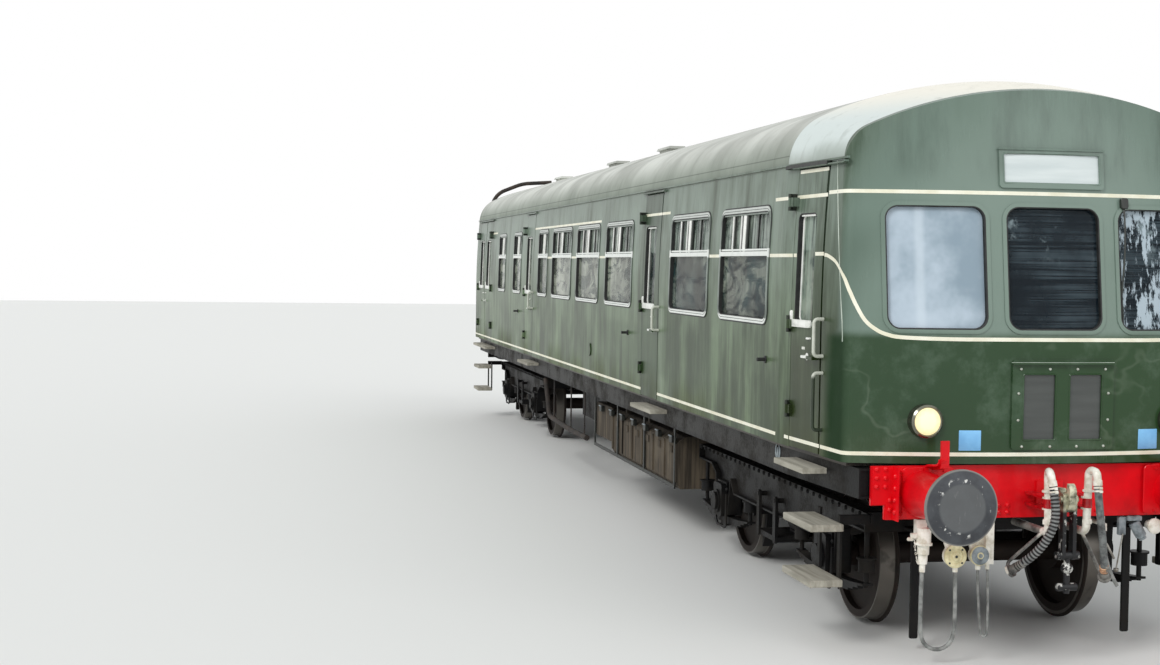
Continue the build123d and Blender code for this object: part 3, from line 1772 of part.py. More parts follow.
def bogie_steps(centre, end):
    """Two boards a side on hangers, from an arm that carries on the top of the side frame."""
    with BuildPart() as steps:
        mid = centre + end * step_reach
        for side in (-1, 1):
            for level in step_levels:
                with Locations((mid, side * step_y, level - step_thick / 2)):
                    Box(step_length, step_broad, step_thick)
            for along in (-1, 1):
                hang_x = mid + along * (step_length / 2 - 90)
                hang_top = frame_top
                hang_low = step_levels[1] - step_thick
                hang_y = side * (step_y - step_broad / 2 - 8)
                with Locations((hang_x, hang_y, (hang_top + hang_low) / 2)):
                    Box(50, 16, hang_top - hang_low)
            arm_start = centre + end * (bogie_frame_length / 2 - 40)
            arm_end = mid + end * (step_length / 2 - 60)
            with Locations(((arm_start + arm_end) / 2, side * (journal_y + 50), frame_top - 30)):
                Box(abs(arm_end - arm_start), 20, 60)
            for along in (-1, 1):
                hang_x = mid + along * (step_length / 2 - 90)
                inner_y = journal_y + 40
                outer_y = step_y - step_broad / 2
                if end * (hang_x - arm_start) > 0:
                    with Locations((hang_x, side * (inner_y + outer_y) / 2, frame_top - 30)):
                        Box(40, outer_y - inner_y, 60)
    return steps


for place, centre, end in (("front", bogie_centre, 1), ("rear", -bogie_centre, -1)):
    with BuildPart() as frame_and_steps:
        add(bogie_frame(centre).part)
        add(bogie_steps(centre, end).part)
    with BuildPart() as boxes_and_springs:
        add(bogie_boxes(centre).part)
        add(bogie_springs(centre).part)
    keep(frame_and_steps, f"bogie_{place}_frame")
    keep(boxes_and_springs, f"bogie_{place}_axleboxes")
    keep(bogie_bolster(centre), f"bogie_{place}_bolster")
    keep(bogie_brakes(centre), f"bogie_{place}_brakes")
    keep(wheelset(centre + bogie_base / 2), f"wheelset_{place}_leading")
    keep(wheelset(centre - bogie_base / 2), f"wheelset_{place}_trailing")

# Equipment under the floor

with BuildPart() as battery_boxes:
    front_end = battery_x + battery_length / 2
    rear_end_x = battery_x - battery_length / 2
    for side in (-1, 1):
        inner = side * (battery_out - battery_deep)
        with BuildSketch(Plane.YZ.offset(rear_end_x)):
            with BuildLine():
                Polyline(
                    (inner, battery_low),
                    (side * (battery_out - 30), battery_low),
                    (side * battery_out, battery_low + 50),
                    (side * battery_out, battery_top - 60),
                    (side * (battery_out - 70), battery_top),
                    (inner, battery_top),
                    close=True,
                )
            make_face()
        extrude(amount=battery_length)
        for step in range(battery_doors + 1):
            x = rear_end_x + 20 + step * (battery_length - 40) / battery_doors
            with Locations((x, side * (battery_out + 8), (battery_top + battery_low) / 2)):
                Box(40, 16, battery_top - battery_low - 130)
        for step in range(battery_doors):
            x = rear_end_x + (step + 0.5) * battery_length / battery_doors
            with Locations((x, side * (battery_out + 6), battery_top - 130)):
                Box(110, 12, 60)
        for x in bearer_places:
            if rear_end_x < x < front_end:
                with Locations((x, side * (battery_out - 180), (battery_top + hanger_top) / 2)):
                    Box(60, 240, hanger_top - battery_top)
            if abs(x - tank_x) < tank_length / 2:
                with Locations((x, side * (battery_out - 180), (tank_top + hanger_top) / 2)):
                    Box(60, 240, hanger_top - tank_top)
        with BuildSketch(Plane.XZ.offset(-side * battery_out)):
            with Locations((tank_x, (tank_low + tank_top) / 2)):
                RectangleRounded(tank_length, tank_top - tank_low, 40)
        extrude(amount=side * battery_deep)

with BuildPart() as power_units:
    for x in engine_places:
        with BuildSketch(Plane.XY.offset(sole_bottom - engine_height)):
            with Locations((x, 0)):
                Rectangle(engine_length, engine_width)
        extrude(amount=engine_height)

with BuildPart() as footboards:
    boards = [(cab_hinge_x + cab_leaf_width / 2, cab_leaf_width + 80)]
    boards += [(back(rear) + leaf_width / 2, leaf_width + 200) for rear in passenger_doors]
    boards += [(back(luggage_centre), 2 * luggage_leaf_width)]
    for x, length in boards:
        for side in (-1, 1):
            inner = solebar_y - max(0, x - length / 2 - taper_x) * taper_inset / taper_length
            with Locations((x, side * (inner + board_out) / 2, board_z - board_thick / 2)):
                Box(length, board_out - inner, board_thick)

pieces = {
    "underframe": underframe,
    "floor": floor,
    "side_right": side_right,
    "side_left": side_left,
    "cab_front": cab_front,
    "roof": roof,
    "cab_roof": cab_roof,
    "rear_end": rear_end,
    "gangway": gangway,
    "door_lugs": door_lugs,
    "door_stops": door_stops,
    "grab_rails": grab_rails,
    "rain_strips": rain_strips,
    "window_glass": window_glass,
    "window_frames": window_frames,
    "indicator_boxes": indicator_boxes,
    "blinds": blinds,
    "marker_lamps": marker_lamps,
    "roof_vents": roof_vents,
    "exhaust_pipes": exhaust_pipes,
    "seats": seats,
    "bulkheads": bulkheads,
    "cab_desk": cab_desk,
    "buffer_beam": buffer_beam,
    "rear_headstock": rear_headstock,
    "buffer_heads": buffer_heads,
    "brake_pipes": brake_pipes,
    "jumper_gear": jumper_gear,
    "couplings": couplings,
    "battery_boxes": battery_boxes,
    "power_units": power_units,
    "footboards": footboards,
    "hose_left": cord(hose_left, hose_thick, "hose_left"),
    "hose_right": cord(hose_right, hose_thick, "hose_right"),
    "cable_loop": cord(cable_loop, loop_thick, "cable_loop"),
    "cable_pair": cord(cable_pair, pair_thick, "cable_pair"),
    "thin_hose": cord(thin_hose, thin_thick, "thin_hose"),
}
for label, piece in pieces.items():
    keep(piece, label)
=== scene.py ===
"""Dressing of a 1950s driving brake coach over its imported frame, laid out as an add-on."""
import math

import bpy
import numpy as np
from mathutils import Matrix, Vector


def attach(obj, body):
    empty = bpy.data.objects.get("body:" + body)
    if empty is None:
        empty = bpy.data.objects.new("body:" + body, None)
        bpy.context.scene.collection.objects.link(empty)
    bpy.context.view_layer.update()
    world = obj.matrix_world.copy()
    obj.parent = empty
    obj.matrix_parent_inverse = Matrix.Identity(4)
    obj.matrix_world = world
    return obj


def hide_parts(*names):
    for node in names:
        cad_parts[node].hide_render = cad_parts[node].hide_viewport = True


bl_info = {
    "name": "Railcar coach dressing",
    "version": (1, 0, 0),
    "blender": (4, 5, 0),
    "location": "View3D > Sidebar > Coach",
    "description": "Paint, lining, glazing and fittings for a driving brake coach",
    "category": "Object",
}

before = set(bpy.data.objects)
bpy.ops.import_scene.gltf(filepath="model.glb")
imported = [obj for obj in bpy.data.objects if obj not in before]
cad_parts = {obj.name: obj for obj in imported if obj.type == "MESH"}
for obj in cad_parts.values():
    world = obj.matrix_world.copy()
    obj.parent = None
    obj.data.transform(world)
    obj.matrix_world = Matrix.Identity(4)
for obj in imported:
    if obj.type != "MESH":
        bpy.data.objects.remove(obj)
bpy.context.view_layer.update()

X, Y, Z = (1, 0, 0), (0, 1, 0), (0, 0, 1)

# Sizes that follow the source, in metres

FRONT_X = 8.687
REAR_X = -8.687
HALF_WIDTH = 1.41
WAIST_Z = 2.065
TUMBLE_Z = 2.1
GUTTER_Z = 3.182
GUTTER_INSET = 0.045
TAPER_X = 7.387
TAPER_LENGTH = 1.3
TAPER_INSET = 0.069
FRONT_BOW = 0.183
FRONT_LEAN = 0.183
FACE_CROWN_Z = 3.59
CORNER = 0.07
BOW_RADIUS = (HALF_WIDTH**2 + FRONT_BOW**2) / (2 * FRONT_BOW)
TAPER_ANGLE = math.atan(TAPER_INSET / TAPER_LENGTH)
WINDOW_BOTTOM = 2.085
WINDOW_HEIGHT = 0.845
TRANSOM_Z = 2.59
# Side windows: how far back their middle lies, and their width
WINDOWS = [(2.21, 1.26), (3.785, 1.26), (6.51, 1.26), (8.085, 1.26), (9.66, 1.26),
           (10.965, 0.7), (13.05, 0.7), (14.487, 0.7)]
DOOR_WIDTH = 0.62
CAB_HINGE = 7.602
CAB_LATCH = 8.13
SALOON_HINGE = FRONT_X - 5.42
REAR_HINGE = FRONT_X - 12.3
LUGGAGE_X = FRONT_X - 16.33
LUGGAGE_LEAF = 0.7305
BUFFER_Y = 0.8685
BUFFER_Z = 1.082
BEAM_X = 8.622
LAMP_Y = 0.851
LAMP_Z = 1.54
AXLE_Z = 0.485
BOGIE_X = 6.096
HALF_WHEELBASE = 1.2955
AXLES = [centre + half for centre in (BOGIE_X, -BOGIE_X) for half in (HALF_WHEELBASE, -HALF_WHEELBASE)]

HOSE_LEFT = [(8.972, -0.152, 1.165), (8.990, -0.138, 1.060), (8.992, -0.142, 0.930), (8.955, -0.190, 0.805),
             (8.890, -0.250, 0.705), (8.815, -0.300, 0.640)]
HOSE_RIGHT = [(8.972, 0.150, 1.165), (8.990, 0.152, 1.055), (8.985, 0.172, 0.925), (8.955, 0.205, 0.795),
              (8.900, 0.245, 0.685), (8.835, 0.285, 0.600)]
CABLE_LOOP = [(8.66, y, z) for y, z in (
    (-0.864, 0.592), (-0.868, 0.4523), (-0.869, 0.3126), (-0.864, 0.1729), (-0.8216, 0.1146),
    (-0.753, 0.0923), (-0.6844, 0.1146), (-0.642, 0.1729), (-0.637, 0.311), (-0.638, 0.449), (-0.642, 0.587))]
CABLE_PAIR = [(8.660, -0.489, 0.600), (8.661, -0.487, 0.490), (8.664, -0.480, 0.360), (8.668, -0.468, 0.225),
              (8.669, -0.462, 0.172), (8.666, -0.422, 0.172), (8.664, -0.418, 0.225), (8.662, -0.416, 0.360),
              (8.661, -0.419, 0.490), (8.660, -0.424, 0.600)]
THIN_HOSE = [(8.660, 0.376, 0.830), (8.662, 0.378, 0.740), (8.664, 0.392, 0.645), (8.664, 0.428, 0.550),
             (8.660, 0.476, 0.470)]


def back(distance):
    """X of a point that lies a distance back from the front of the body."""
    return FRONT_X - distance


# Surfaces of the body, as functions of place


def tumble_at(z):
    """How far a side leans in at a height: a circle arc from the tumble line up to the gutter."""
    rise = np.maximum(0, np.asarray(z, float) - TUMBLE_Z)
    bend = ((GUTTER_Z - TUMBLE_Z) ** 2 + GUTTER_INSET**2) / (2 * GUTTER_INSET)
    return bend - np.sqrt(bend**2 - rise**2)


def side_at(x, z):
    """Distance of a side face from the centre line: the half width, less the cab taper, less the lean."""
    taper = np.maximum(0, np.asarray(x, float) - TAPER_X) * TAPER_INSET / TAPER_LENGTH
    return HALF_WIDTH - taper - tumble_at(z)


def front_at(y, z):
    """X of the cab face: a circle arc across, leaning back in a straight line above the waist."""
    lean = np.maximum(0, np.asarray(z, float) - WAIST_Z) * FRONT_LEAN / (FACE_CROWN_Z - WAIST_Z)
    return FRONT_X - BOW_RADIUS + np.sqrt(BOW_RADIUS**2 - np.asarray(y, float) ** 2) - lean


def corner_at(z):
    """The arc where face and side meet at a height: it touches the face's arc and the tapered side.

    Gives its centre's X and Y, its first angle, and where it starts and ends in s.
    """
    nose = front_at(0, z)
    centre_x = nose - 0.2
    for _ in range(4):
        centre_y = side_at(centre_x, z) - CORNER / math.cos(TAPER_ANGLE)
        centre_x = nose - BOW_RADIUS + np.sqrt((BOW_RADIUS - CORNER) ** 2 - centre_y**2)
    first = np.arcsin(centre_y / (BOW_RADIUS - CORNER))
    face_end = BOW_RADIUS * first
    return centre_x, centre_y, first, face_end, face_end + CORNER * (math.pi / 2 - TAPER_ANGLE - first)


def skin(s, z, out):
    """Points on the unrolled body: s runs round from the middle of the face, z is height, out the stand-off.

    The face is an arc of the bow radius, then a corner arc, then the tapered and the straight side.
    """
    s, z, out = np.broadcast_arrays(np.asarray(s, float), np.asarray(z, float), np.asarray(out, float))
    along = np.abs(s)
    nose = front_at(0, z)
    corner_x, corner_y, first, face_end, side_start = corner_at(z)
    last = math.pi / 2 - TAPER_ANGLE
    turn = np.clip(first + (along - face_end) / CORNER, first, last)
    on_face = along / BOW_RADIUS
    run = np.maximum(0, along - side_start)
    start_x = corner_x + CORNER * math.cos(last)
    start_y = corner_y + CORNER * math.sin(last)
    taper_run = (start_x - TAPER_X) / math.cos(TAPER_ANGLE)
    tapered = np.minimum(run, taper_run)
    straight = np.maximum(0, run - taper_run)
    parts = [along < face_end, along < side_start]
    x = np.select(parts, [nose - BOW_RADIUS + (BOW_RADIUS + out) * np.cos(on_face),
                          corner_x + (CORNER + out) * np.cos(turn)],
                  start_x - tapered * math.cos(TAPER_ANGLE) - straight + out * math.cos(last))
    y = np.select(parts, [(BOW_RADIUS + out) * np.sin(on_face), corner_y + (CORNER + out) * np.sin(turn)],
                  start_y + tapered * math.sin(TAPER_ANGLE) + out * math.sin(last))
    return np.stack([x, np.sign(s) * y, z], -1)


def s_of(x, z):
    """Distance round the skin of a point that lies on a side at X: the inverse of the side part of skin()."""
    corner_x, _, _, _, side_start = corner_at(z)
    start_x = corner_x + CORNER * math.sin(TAPER_ANGLE)
    tapered = (start_x - max(x, TAPER_X)) / math.cos(TAPER_ANGLE)
    return float(side_start + tapered + max(0, TAPER_X - x))


# Meshes, all worked out as arrays


def unit(vectors):
    """Vectors divided by their lengths."""
    vectors = np.asarray(vectors, float)
    return vectors / np.linalg.norm(vectors, axis=-1, keepdims=True)


def beside(axes):
    """Unit vectors square to each axis: side is lead x axis, up is axis x side; lead is Z, or X near Z."""
    lead = np.where(np.abs(axes[..., 2:]) < 0.9, [Z], [X])
    side = unit(np.cross(lead, axes))
    return side, np.cross(axes, side)


class Shape:
    """Vertices and faces of one piece; adding shapes, or their sum(), puts them in one mesh."""

    def __init__(self, points, faces):
        self.points = np.asarray(points, float).reshape(-1, 3)
        self.faces = faces

    def __add__(self, other):
        shift = len(self.points)
        moved = [tuple(i + shift for i in face) for face in other.faces]
        return Shape(np.concatenate([self.points, other.points]), self.faces + moved)

    def __radd__(self, other):
        return self

    def turned_over(self):
        """The same shape with each face turned round."""
        return Shape(self.points, [face[::-1] for face in self.faces])

    def mirrored(self):
        """The same shape on the other side: Y is negated and each face turned round."""
        return Shape(self.points * (1, -1, 1), self.turned_over().faces)

    def both(self):
        """The shape with its mirror image."""
        return self + self.mirrored()


def loft(rings, loop=False):
    """Skin over rings of equal count: quads between neighbours, each ring closed, with flat end caps.

    Face i of ring j joins points i and i + 1 of rings j and j + 1; loop joins the last ring to the first.
    """
    rings = np.asarray(rings, float)
    count, size = rings.shape[:2]
    j, i = np.meshgrid(np.arange(count if loop else count - 1), np.arange(size), indexing="ij")
    after, next_i = (j + 1) % count, (i + 1) % size
    quads = np.stack([j * size + i, j * size + next_i, after * size + next_i, after * size + i], -1)
    faces = [tuple(face) for face in quads.reshape(-1, 4).tolist()]
    if not loop:
        faces += [tuple(range(size - 1, -1, -1)), tuple(range((count - 1) * size, count * size))]
    return Shape(rings.reshape(-1, 3), faces)


def rounded(width, height, corner, steps):
    """Outline of a rounded rectangle, anticlockwise: four quarter circles joined by lines."""
    turn = np.linspace(0, math.pi / 2, steps)
    quarter = np.stack([np.cos(turn), np.sin(turn)], -1) * corner
    spin = np.array([[[1, 0], [0, 1]], [[0, 1], [-1, 0]], [[-1, 0], [0, -1]], [[0, -1], [1, 0]]])
    centre = np.array([[1, 1], [-1, 1], [-1, -1], [1, -1]]) * (width / 2 - corner, height / 2 - corner)
    return (np.einsum("ki,qij->qkj", quarter, spin) + centre[:, None]).reshape(-1, 2)


def circle(radius, steps):
    """Points of a circle about the origin: cosine and sine of equal turns, times the radius."""
    turn = np.arange(steps) * 2 * math.pi / steps
    return np.stack([np.cos(turn), np.sin(turn)], -1) * radius


def sweep(path, profile, guide=Z, scale=1.0, loop=False):
    """A profile of (side, up) offsets carried along a path; scale may differ from point to point.

    Side is the guide crossed with the tangent, up is the tangent crossed with side.
    """
    path, profile = np.asarray(path, float), np.asarray(profile, float)
    tangent = unit(np.gradient(path, axis=0))
    side = unit(np.cross(np.broadcast_to(guide, path.shape), tangent))
    up = np.cross(tangent, side)
    size = np.broadcast_to(np.asarray(scale, float), (len(path),))[:, None, None]
    across = profile[None, :, :1] * side[:, None] + profile[None, :, 1:] * up[:, None]
    return loft(path[:, None] + size * across, loop)


def turned(profile, origin, axis, steps=28):
    """A profile of (radius, height) steps turned about an axis; ends of zero radius close on a small disc."""
    axis = unit(axis)
    side, up = beside(axis)
    turn = circle(1, steps)
    ring = turn[:, :1] * side + turn[:, 1:] * up
    profile = np.maximum(np.asarray(profile, float), (1e-4, -1e9))
    rings = profile[:, :1, None] * ring[None] + profile[:, 1, None, None] * axis
    return loft(rings + np.asarray(origin, float))


def slab(centre, size, corner, edge, normal, steps=3):
    """A plate with softened rims: rings of its rounded outline at four depths, smaller at both ends.

    size is (along normal x up, along up, thick), where up is Z, or X on a level plate.
    """
    normal = unit(normal)
    lead = np.array(X if normal[2] > 0.9 else Z, float)
    up = unit(lead - np.dot(lead, normal) * normal)
    side = np.cross(up, normal)
    wide, tall, thick = size
    rings = []
    half = thick / 2
    for inset, depth in ((edge, -half), (0, -half + edge), (0, half - edge), (edge, half)):
        outline = rounded(wide - 2 * inset, tall - 2 * inset, max(corner - inset, 2e-4), steps)
        rings.append(outline[:, :1] * side + outline[:, 1:] * up + depth * normal + np.asarray(centre, float))
    return loft(rings)


def scatter(pattern, places, normals):
    """Copies of a small shape built along +Z, set at places with their +Z along the normals."""
    places = np.asarray(places, float).reshape(-1, 3)
    normals = unit(np.broadcast_to(np.asarray(normals, float), places.shape))
    side, up = beside(normals)
    p = pattern.points
    points = p[:, :1] * side[:, None] + p[:, 1:2] * up[:, None] + p[:, 2:] * normals[:, None]
    faces = []
    for size in {len(face) for face in pattern.faces}:
        some = np.array([face for face in pattern.faces if len(face) == size])
        many = some[None] + (np.arange(len(places)) * len(p))[:, None, None]
        faces += [tuple(face) for face in many.reshape(-1, size).tolist()]
    return Shape(points + places[:, None], faces)


# Small heads that are scattered: rivet, small bolt, bolt and socket pin
RIVET, SMALL_BOLT, BOLT, PIN = (turned(profile, (0, 0, 0), Z, steps) for profile, steps in (
    ([(0.017, -0.002), (0.0168, 0.003), (0.014, 0.009), (0.0085, 0.0135), (0.003, 0.0148)], 12),
    ([(0.009, -0.002), (0.009, 0.004), (0.006, 0.008), (0.002, 0.009)], 8),
    ([(0.015, -0.002), (0.015, 0.01), (0.013, 0.012), (0.007, 0.012), (0.007, 0.02), (0.005, 0.022)], 6),
    ([(0.007, -0.002), (0.007, 0.003), (0.004, 0.0045)], 8)))


def ribbon(s, z, width, out=0.0012, thick=0.002):
    """A painted line as a thin raised strip on the skin: its centre runs through (s, z), its width across it.

    At each point the strip has four corners: two on the skin's side and two stood off by its thickness.
    """
    run = unit(np.stack([np.gradient(s), np.gradient(z)], -1))
    across = np.stack([-run[:, 1], run[:, 0]], -1) * width / 2
    corners = [skin(s + side * across[:, 0], z + side * across[:, 1], depth)
               for side, depth in ((1, out - thick), (1, out), (-1, out), (-1, out - thick))]
    return loft(np.stack(corners, 1))


def smooth_run(points, count):
    """Points spread evenly on a smooth curve through the given ones.

    Each stretch is a cubic whose slope at either end is half the step between the points on both sides of it.
    """
    p = np.asarray(points, float)
    p = np.concatenate([[2 * p[0] - p[1]], p, [2 * p[-1] - p[-2]]])
    t = np.linspace(0, len(p) - 3 - 1e-9, count)
    k = t.astype(int)
    u = (t - k)[:, None]
    a, b, c, d = p[k], p[k + 1], p[k + 2], p[k + 3]
    return 0.5 * (2 * b + (c - a) * u + (2 * a - 5 * b + 4 * c - d) * u**2 + (3 * b - a - 3 * c + d) * u**3)


def on_side(outline, x, z, out):
    """Points of an outline in (along, up) laid on the left side of the body at (x, z), stood off by out."""
    px, pz = x + outline[:, 0], z + outline[:, 1]
    return np.stack([px, side_at(px, pz) + out, pz], -1)


def on_front(outline, y, z, out):
    """The same on the cab face at (y, z)."""
    py, pz = y + outline[:, 0], z + outline[:, 1]
    return np.stack([front_at(py, pz) + out, py, pz], -1)


def laid(lay, rings, loop=False):
    """Rings on the body joined with their faces outwards: on the left side an outline runs clockwise."""
    shape = loft(rings, loop)
    return shape if lay is on_front else shape.turned_over()


def raised(lay, across, z, size, corner, steps, *rings):
    """A plate on the side or the face: one rounded outline at several pairs of scale and stand-off."""
    outline = rounded(*size, corner, steps)
    return laid(lay, [lay(outline * scale, across, z, out) for scale, out in rings])


def rim(lay, across, z, width, height, corner, bar, low, high):
    """A frame on the side or the face: rounded outlines, outer and inner, at two depths, in a closed ring."""
    lip, steps = (0.003, 8) if lay is on_front else (0.002, 7)
    insets = ((0, low), (0, high - lip), (lip, high), (bar - 0.003, high), (bar, high - 0.003), (bar, low))
    return laid(lay, [lay(rounded(width - 2 * inset, height - 2 * inset, max(corner - inset, 0.004), steps),
                          across, z, depth) for inset, depth in insets], True)


# Materials


def math_node(operation, other_first=False):
    """A method that adds a Math node for a signal and what it meets."""
    def method(self, *other):
        values = (*other, self) if other_first else (self, *other)
        return self.nodes.node("ShaderNodeMath", {"operation": operation}, values)
    return method


class Signal:
    """A number, colour or shader from a node socket; arithmetic adds Math nodes, | gives the larger."""

    def __init__(self, nodes, socket):
        self.nodes, self.socket = nodes, socket

    __add__ = __radd__ = math_node("ADD")
    __sub__ = math_node("SUBTRACT")
    __rsub__ = math_node("SUBTRACT", True)
    __mul__ = __rmul__ = math_node("MULTIPLY")
    __pow__ = math_node("POWER")
    __mod__ = math_node("FLOORED_MODULO")
    __lt__ = math_node("LESS_THAN")
    __or__ = math_node("MAXIMUM")
    __abs__ = math_node("ABSOLUTE")


class Nodes:
    """A node tree that grows by node()."""

    def __init__(self, tree):
        self.tree = tree

    def node(self, kind, settings=None, values=(), output=0):
        """A node of any type: its settings first, then values or links of its sockets, by order or name."""
        made_node = self.tree.nodes.new(kind)
        for name, setting in (settings or {}).items():
            setattr(made_node, name, setting)
        for key, value in values.items() if isinstance(values, dict) else enumerate(values):
            if isinstance(value, Signal):
                self.tree.links.new(value.socket, made_node.inputs[key])
            else:
                made_node.inputs[key].default_value = value
        return Signal(self, made_node.outputs[output])


class Finish(Nodes):
    """A procedural material on Object coordinates, with short calls for the nodes that it needs often."""

    def __init__(self, name):
        self.material = bpy.data.materials.new(name)
        self.material.use_nodes = True
        super().__init__(self.material.node_tree)
        self.place = self.node("ShaderNodeTexCoord", output="Object")
        self.x, self.y, self.z = (self.node("ShaderNodeSeparateXYZ", None, [self.place], i) for i in range(3))

    def noise(self, scale, detail=3, rough=0.55, stretch=None, distort=0):
        """Cloudy value from 0 to 1; stretch scales each axis first, for streaks and grain."""
        place = self.place
        if stretch:
            place = self.node("ShaderNodeVectorMath", {"operation": "MULTIPLY"}, [place, stretch])
        return self.node("ShaderNodeTexNoise", None, {"Vector": place, "Scale": scale, "Detail": detail,
                                                      "Roughness": rough, "Distortion": distort})

    def cells(self, scale):
        """Distance to the nearest of many scattered points."""
        return self.node("ShaderNodeTexVoronoi", None, {"Vector": self.place, "Scale": scale})

    def ease(self, value, low, high):
        """Smooth step from 0 at low to 1 at high."""
        return self.node("ShaderNodeMapRange", {"interpolation_type": "SMOOTHSTEP"}, [value, low, high, 0, 1])

    def within(self, value, low, high, soft=0.01):
        """1 between two limits, with soft edges."""
        return self.ease(value, low - soft, low + soft) * (1 - self.ease(value, high - soft, high + soft))

    def round(self, across, y, z):
        """Distance from a line along an axis: the root of the summed squares of two offsets."""
        return ((across - y) * (across - y) + (self.z - z) * (self.z - z)) ** 0.5

    def mix(self, factor, first, second):
        """Colour between two, by a factor."""
        values = {0: factor, 6: colour4(first), 7: colour4(second)}
        return self.node("ShaderNodeMix", {"data_type": "RGBA"}, values, 2)

    def over(self, colour, *coats):
        """A colour with coats laid over it in turn, each a factor and the colour it leads to."""
        for factor, coat in coats:
            colour = self.mix(factor, colour, coat)
        return colour

    def bump(self, height, strength=0.3, distance=0.01):
        """Normal of a height pattern."""
        values = {"Height": height, "Strength": strength, "Distance": distance}
        return self.node("ShaderNodeBump", None, values)

    def set(self, **inputs):
        """Values or links of the shader's inputs, underscores for spaces."""
        for name, value in inputs.items():
            socket = self.tree.nodes["Principled BSDF"].inputs[name.replace("_", " ")]
            if isinstance(value, Signal):
                self.tree.links.new(value.socket, socket)
            else:
                socket.default_value = colour4(value) if socket.type == "RGBA" else value


def srgb(red, green, blue):
    """Linear colour of an sRGB one given from 0 to 255: the standard curve in two pieces."""
    return tuple(v / 12.92 if v <= 0.04045 else ((v + 0.055) / 1.055) ** 2.4
                 for v in (red / 255, green / 255, blue / 255))


def colour4(value):
    """What a colour socket takes: a signal as it is, a setting by its name, or an sRGB colour made linear."""
    if isinstance(value, Signal):
        return value
    if isinstance(value, str):
        return (*getattr(bpy.context.scene.coach_colours, value), 1)
    return (*srgb(*value), 1)


def size_value(name):
    """A size that the user can change."""
    return getattr(bpy.context.scene.coach_sizes, name)


def coach_green(f):
    """Weathered coach green: streaked and bleached sides, a darker glossier face that pales above the waist
    with a painted reflection of the sky, and painted shade at the foot of the corner.

    On the sides, leaf is the saloon door, run a pale rain run beside it, band a darker green below the
    windows that is a painted reflection of a dark horizon, near the brown foot of the cab door. worn and
    smear mark the lower face. above is 1 over the waist, face 1 on the cab front. dust lies along the foot,
    grime under the gutter, turn the painted shade on the corner.
    """
    broad = f.noise(1, 4, 0.6, (2.6, 2.6, 0.9))
    streak = f.noise(1, 6, 0.7, (6, 6, 0.7)) * 0.5 + broad * 0.5
    fine = f.noise(1, 4, 0.65, (42, 42, 1.3))
    cloud = f.noise(1.3, 4)
    height = f.ease(f.z, 1.7, 2.9)
    above = f.ease(f.z, 2.03, 2.12)
    face = f.ease(f.x + (1 - above) * (0.06 + cloud * 0.3), 8.36, 8.46 + (1 - above) * 0.12)
    door = f.within(f.x, CAB_HINGE, CAB_LATCH)
    fade = 0.4 + height * 0.34 + (streak - 0.5) * 2.9 + (cloud - 0.5) * 0.9 - door * 0.14
    leaf = f.within(f.x, 3.22, 3.9, 0.015)
    run = f.within(f.x, 3.95, 4.12, 0.05) * f.within(f.z, 1.4, 2.1, 0.2)
    # band darkens the green below the windows as a painted reflection of a dark horizon.
    band = f.within(f.z, 1.5, 1.93, 0.05) * f.ease(f.x, 0, 3) * (1 - f.ease(f.x, 5.3, 6.2))
    near = f.ease(f.x, 7.58, 7.62) * (1 - f.ease(f.z, 1.9, 2.3))
    patch = f.ease(broad, 0.4, 0.6)
    side = f.mix(f.ease(fade, 0, 1), (36, 54, 24), f.mix(height, "body_faded", (116, 131, 118)))
    side = f.over(side,
                  (f.ease(fine, 0.55, 0.72) * patch * 0.4, (140, 154, 122)),
                  (f.ease(fine, 0.46, 0.34) * 0.35, (30, 44, 20)),
                  (leaf * 0.5, (12, 40, 6)),
                  (run * f.ease(fine, 0.4, 0.6) * 0.5, (158, 170, 150)),
                  (band * (0.1 + patch * 0.25), (14, 48, 6)),
                  (near * (0.4 + patch * 0.3), (38, 42, 18)))
    # The face pales above the waist as a painted reflection of the sky, varied by streaks and clouds of wear.
    streaks_and_sky_reflection = above * 0.75 + height * 0.15 + (streak - 0.5) * 0.5 + (cloud - 0.5) * 0.3 - 0.06
    worn = f.noise(3.2, 5, 0.65)
    smear = f.within(f.noise(1.5, 3, 0.5, (1, 1, 1.6)), 0.503, 0.517, 0.016) * (1 - above)
    low = f.over("body",
                 (f.ease(f.y, -0.9, 0.5) * 0.45, (38, 68, 32)),
                 (f.ease(worn, 0.48, 0.7) * 0.3, (104, 124, 106)),
                 (smear * f.ease(cloud, 0.45, 0.6) * 0.22, (138, 152, 132)))
    dust = (1 - f.ease(f.z, 1.27, 1.62)) * f.ease(cloud, 0.35, 0.7) * (1 - face * 0.7)
    grime = f.ease(f.z, 2.98, 3.2) * f.ease(streak, 0.42, 0.66)
    front = f.ease(f.x, 8.46, 8.54)
    # turn darkens the side near the corner, most below the waist, as painted shade.
    turn = f.ease(f.x + (cloud - 0.5) * 0.3, 8.12, 8.34) * (1 - front)
    turn = turn * (1 - above * 0.6 - f.ease(f.z, 2.6, 2.9) * 0.25)
    colour = f.over(side,
                    (face, f.mix(f.ease(streaks_and_sky_reflection, 0, 0.95), low, (115, 133, 122))),
                    (dust * 0.5, (88, 87, 60)),
                    (grime * 0.35, (38, 44, 36)),
                    (turn * 0.85, (8, 40, 8)))
    wave = f.noise(0.9, 2, 0.5, (1, 1, 2.2))
    rough = 0.34 - front * 0.12 + dust * 0.3 + (fine - 0.5) * 0.12 + turn * (1 - above) * 0.5
    f.set(Base_Color=colour, Roughness=rough, Coat_Weight=0.04 + front * 0.24, Coat_Roughness=0.12,
          Specular_IOR_Level=0.2, Normal=f.bump(wave + f.cells(60) * 0.004 + fine * 0.01, 0.25, 0.02))


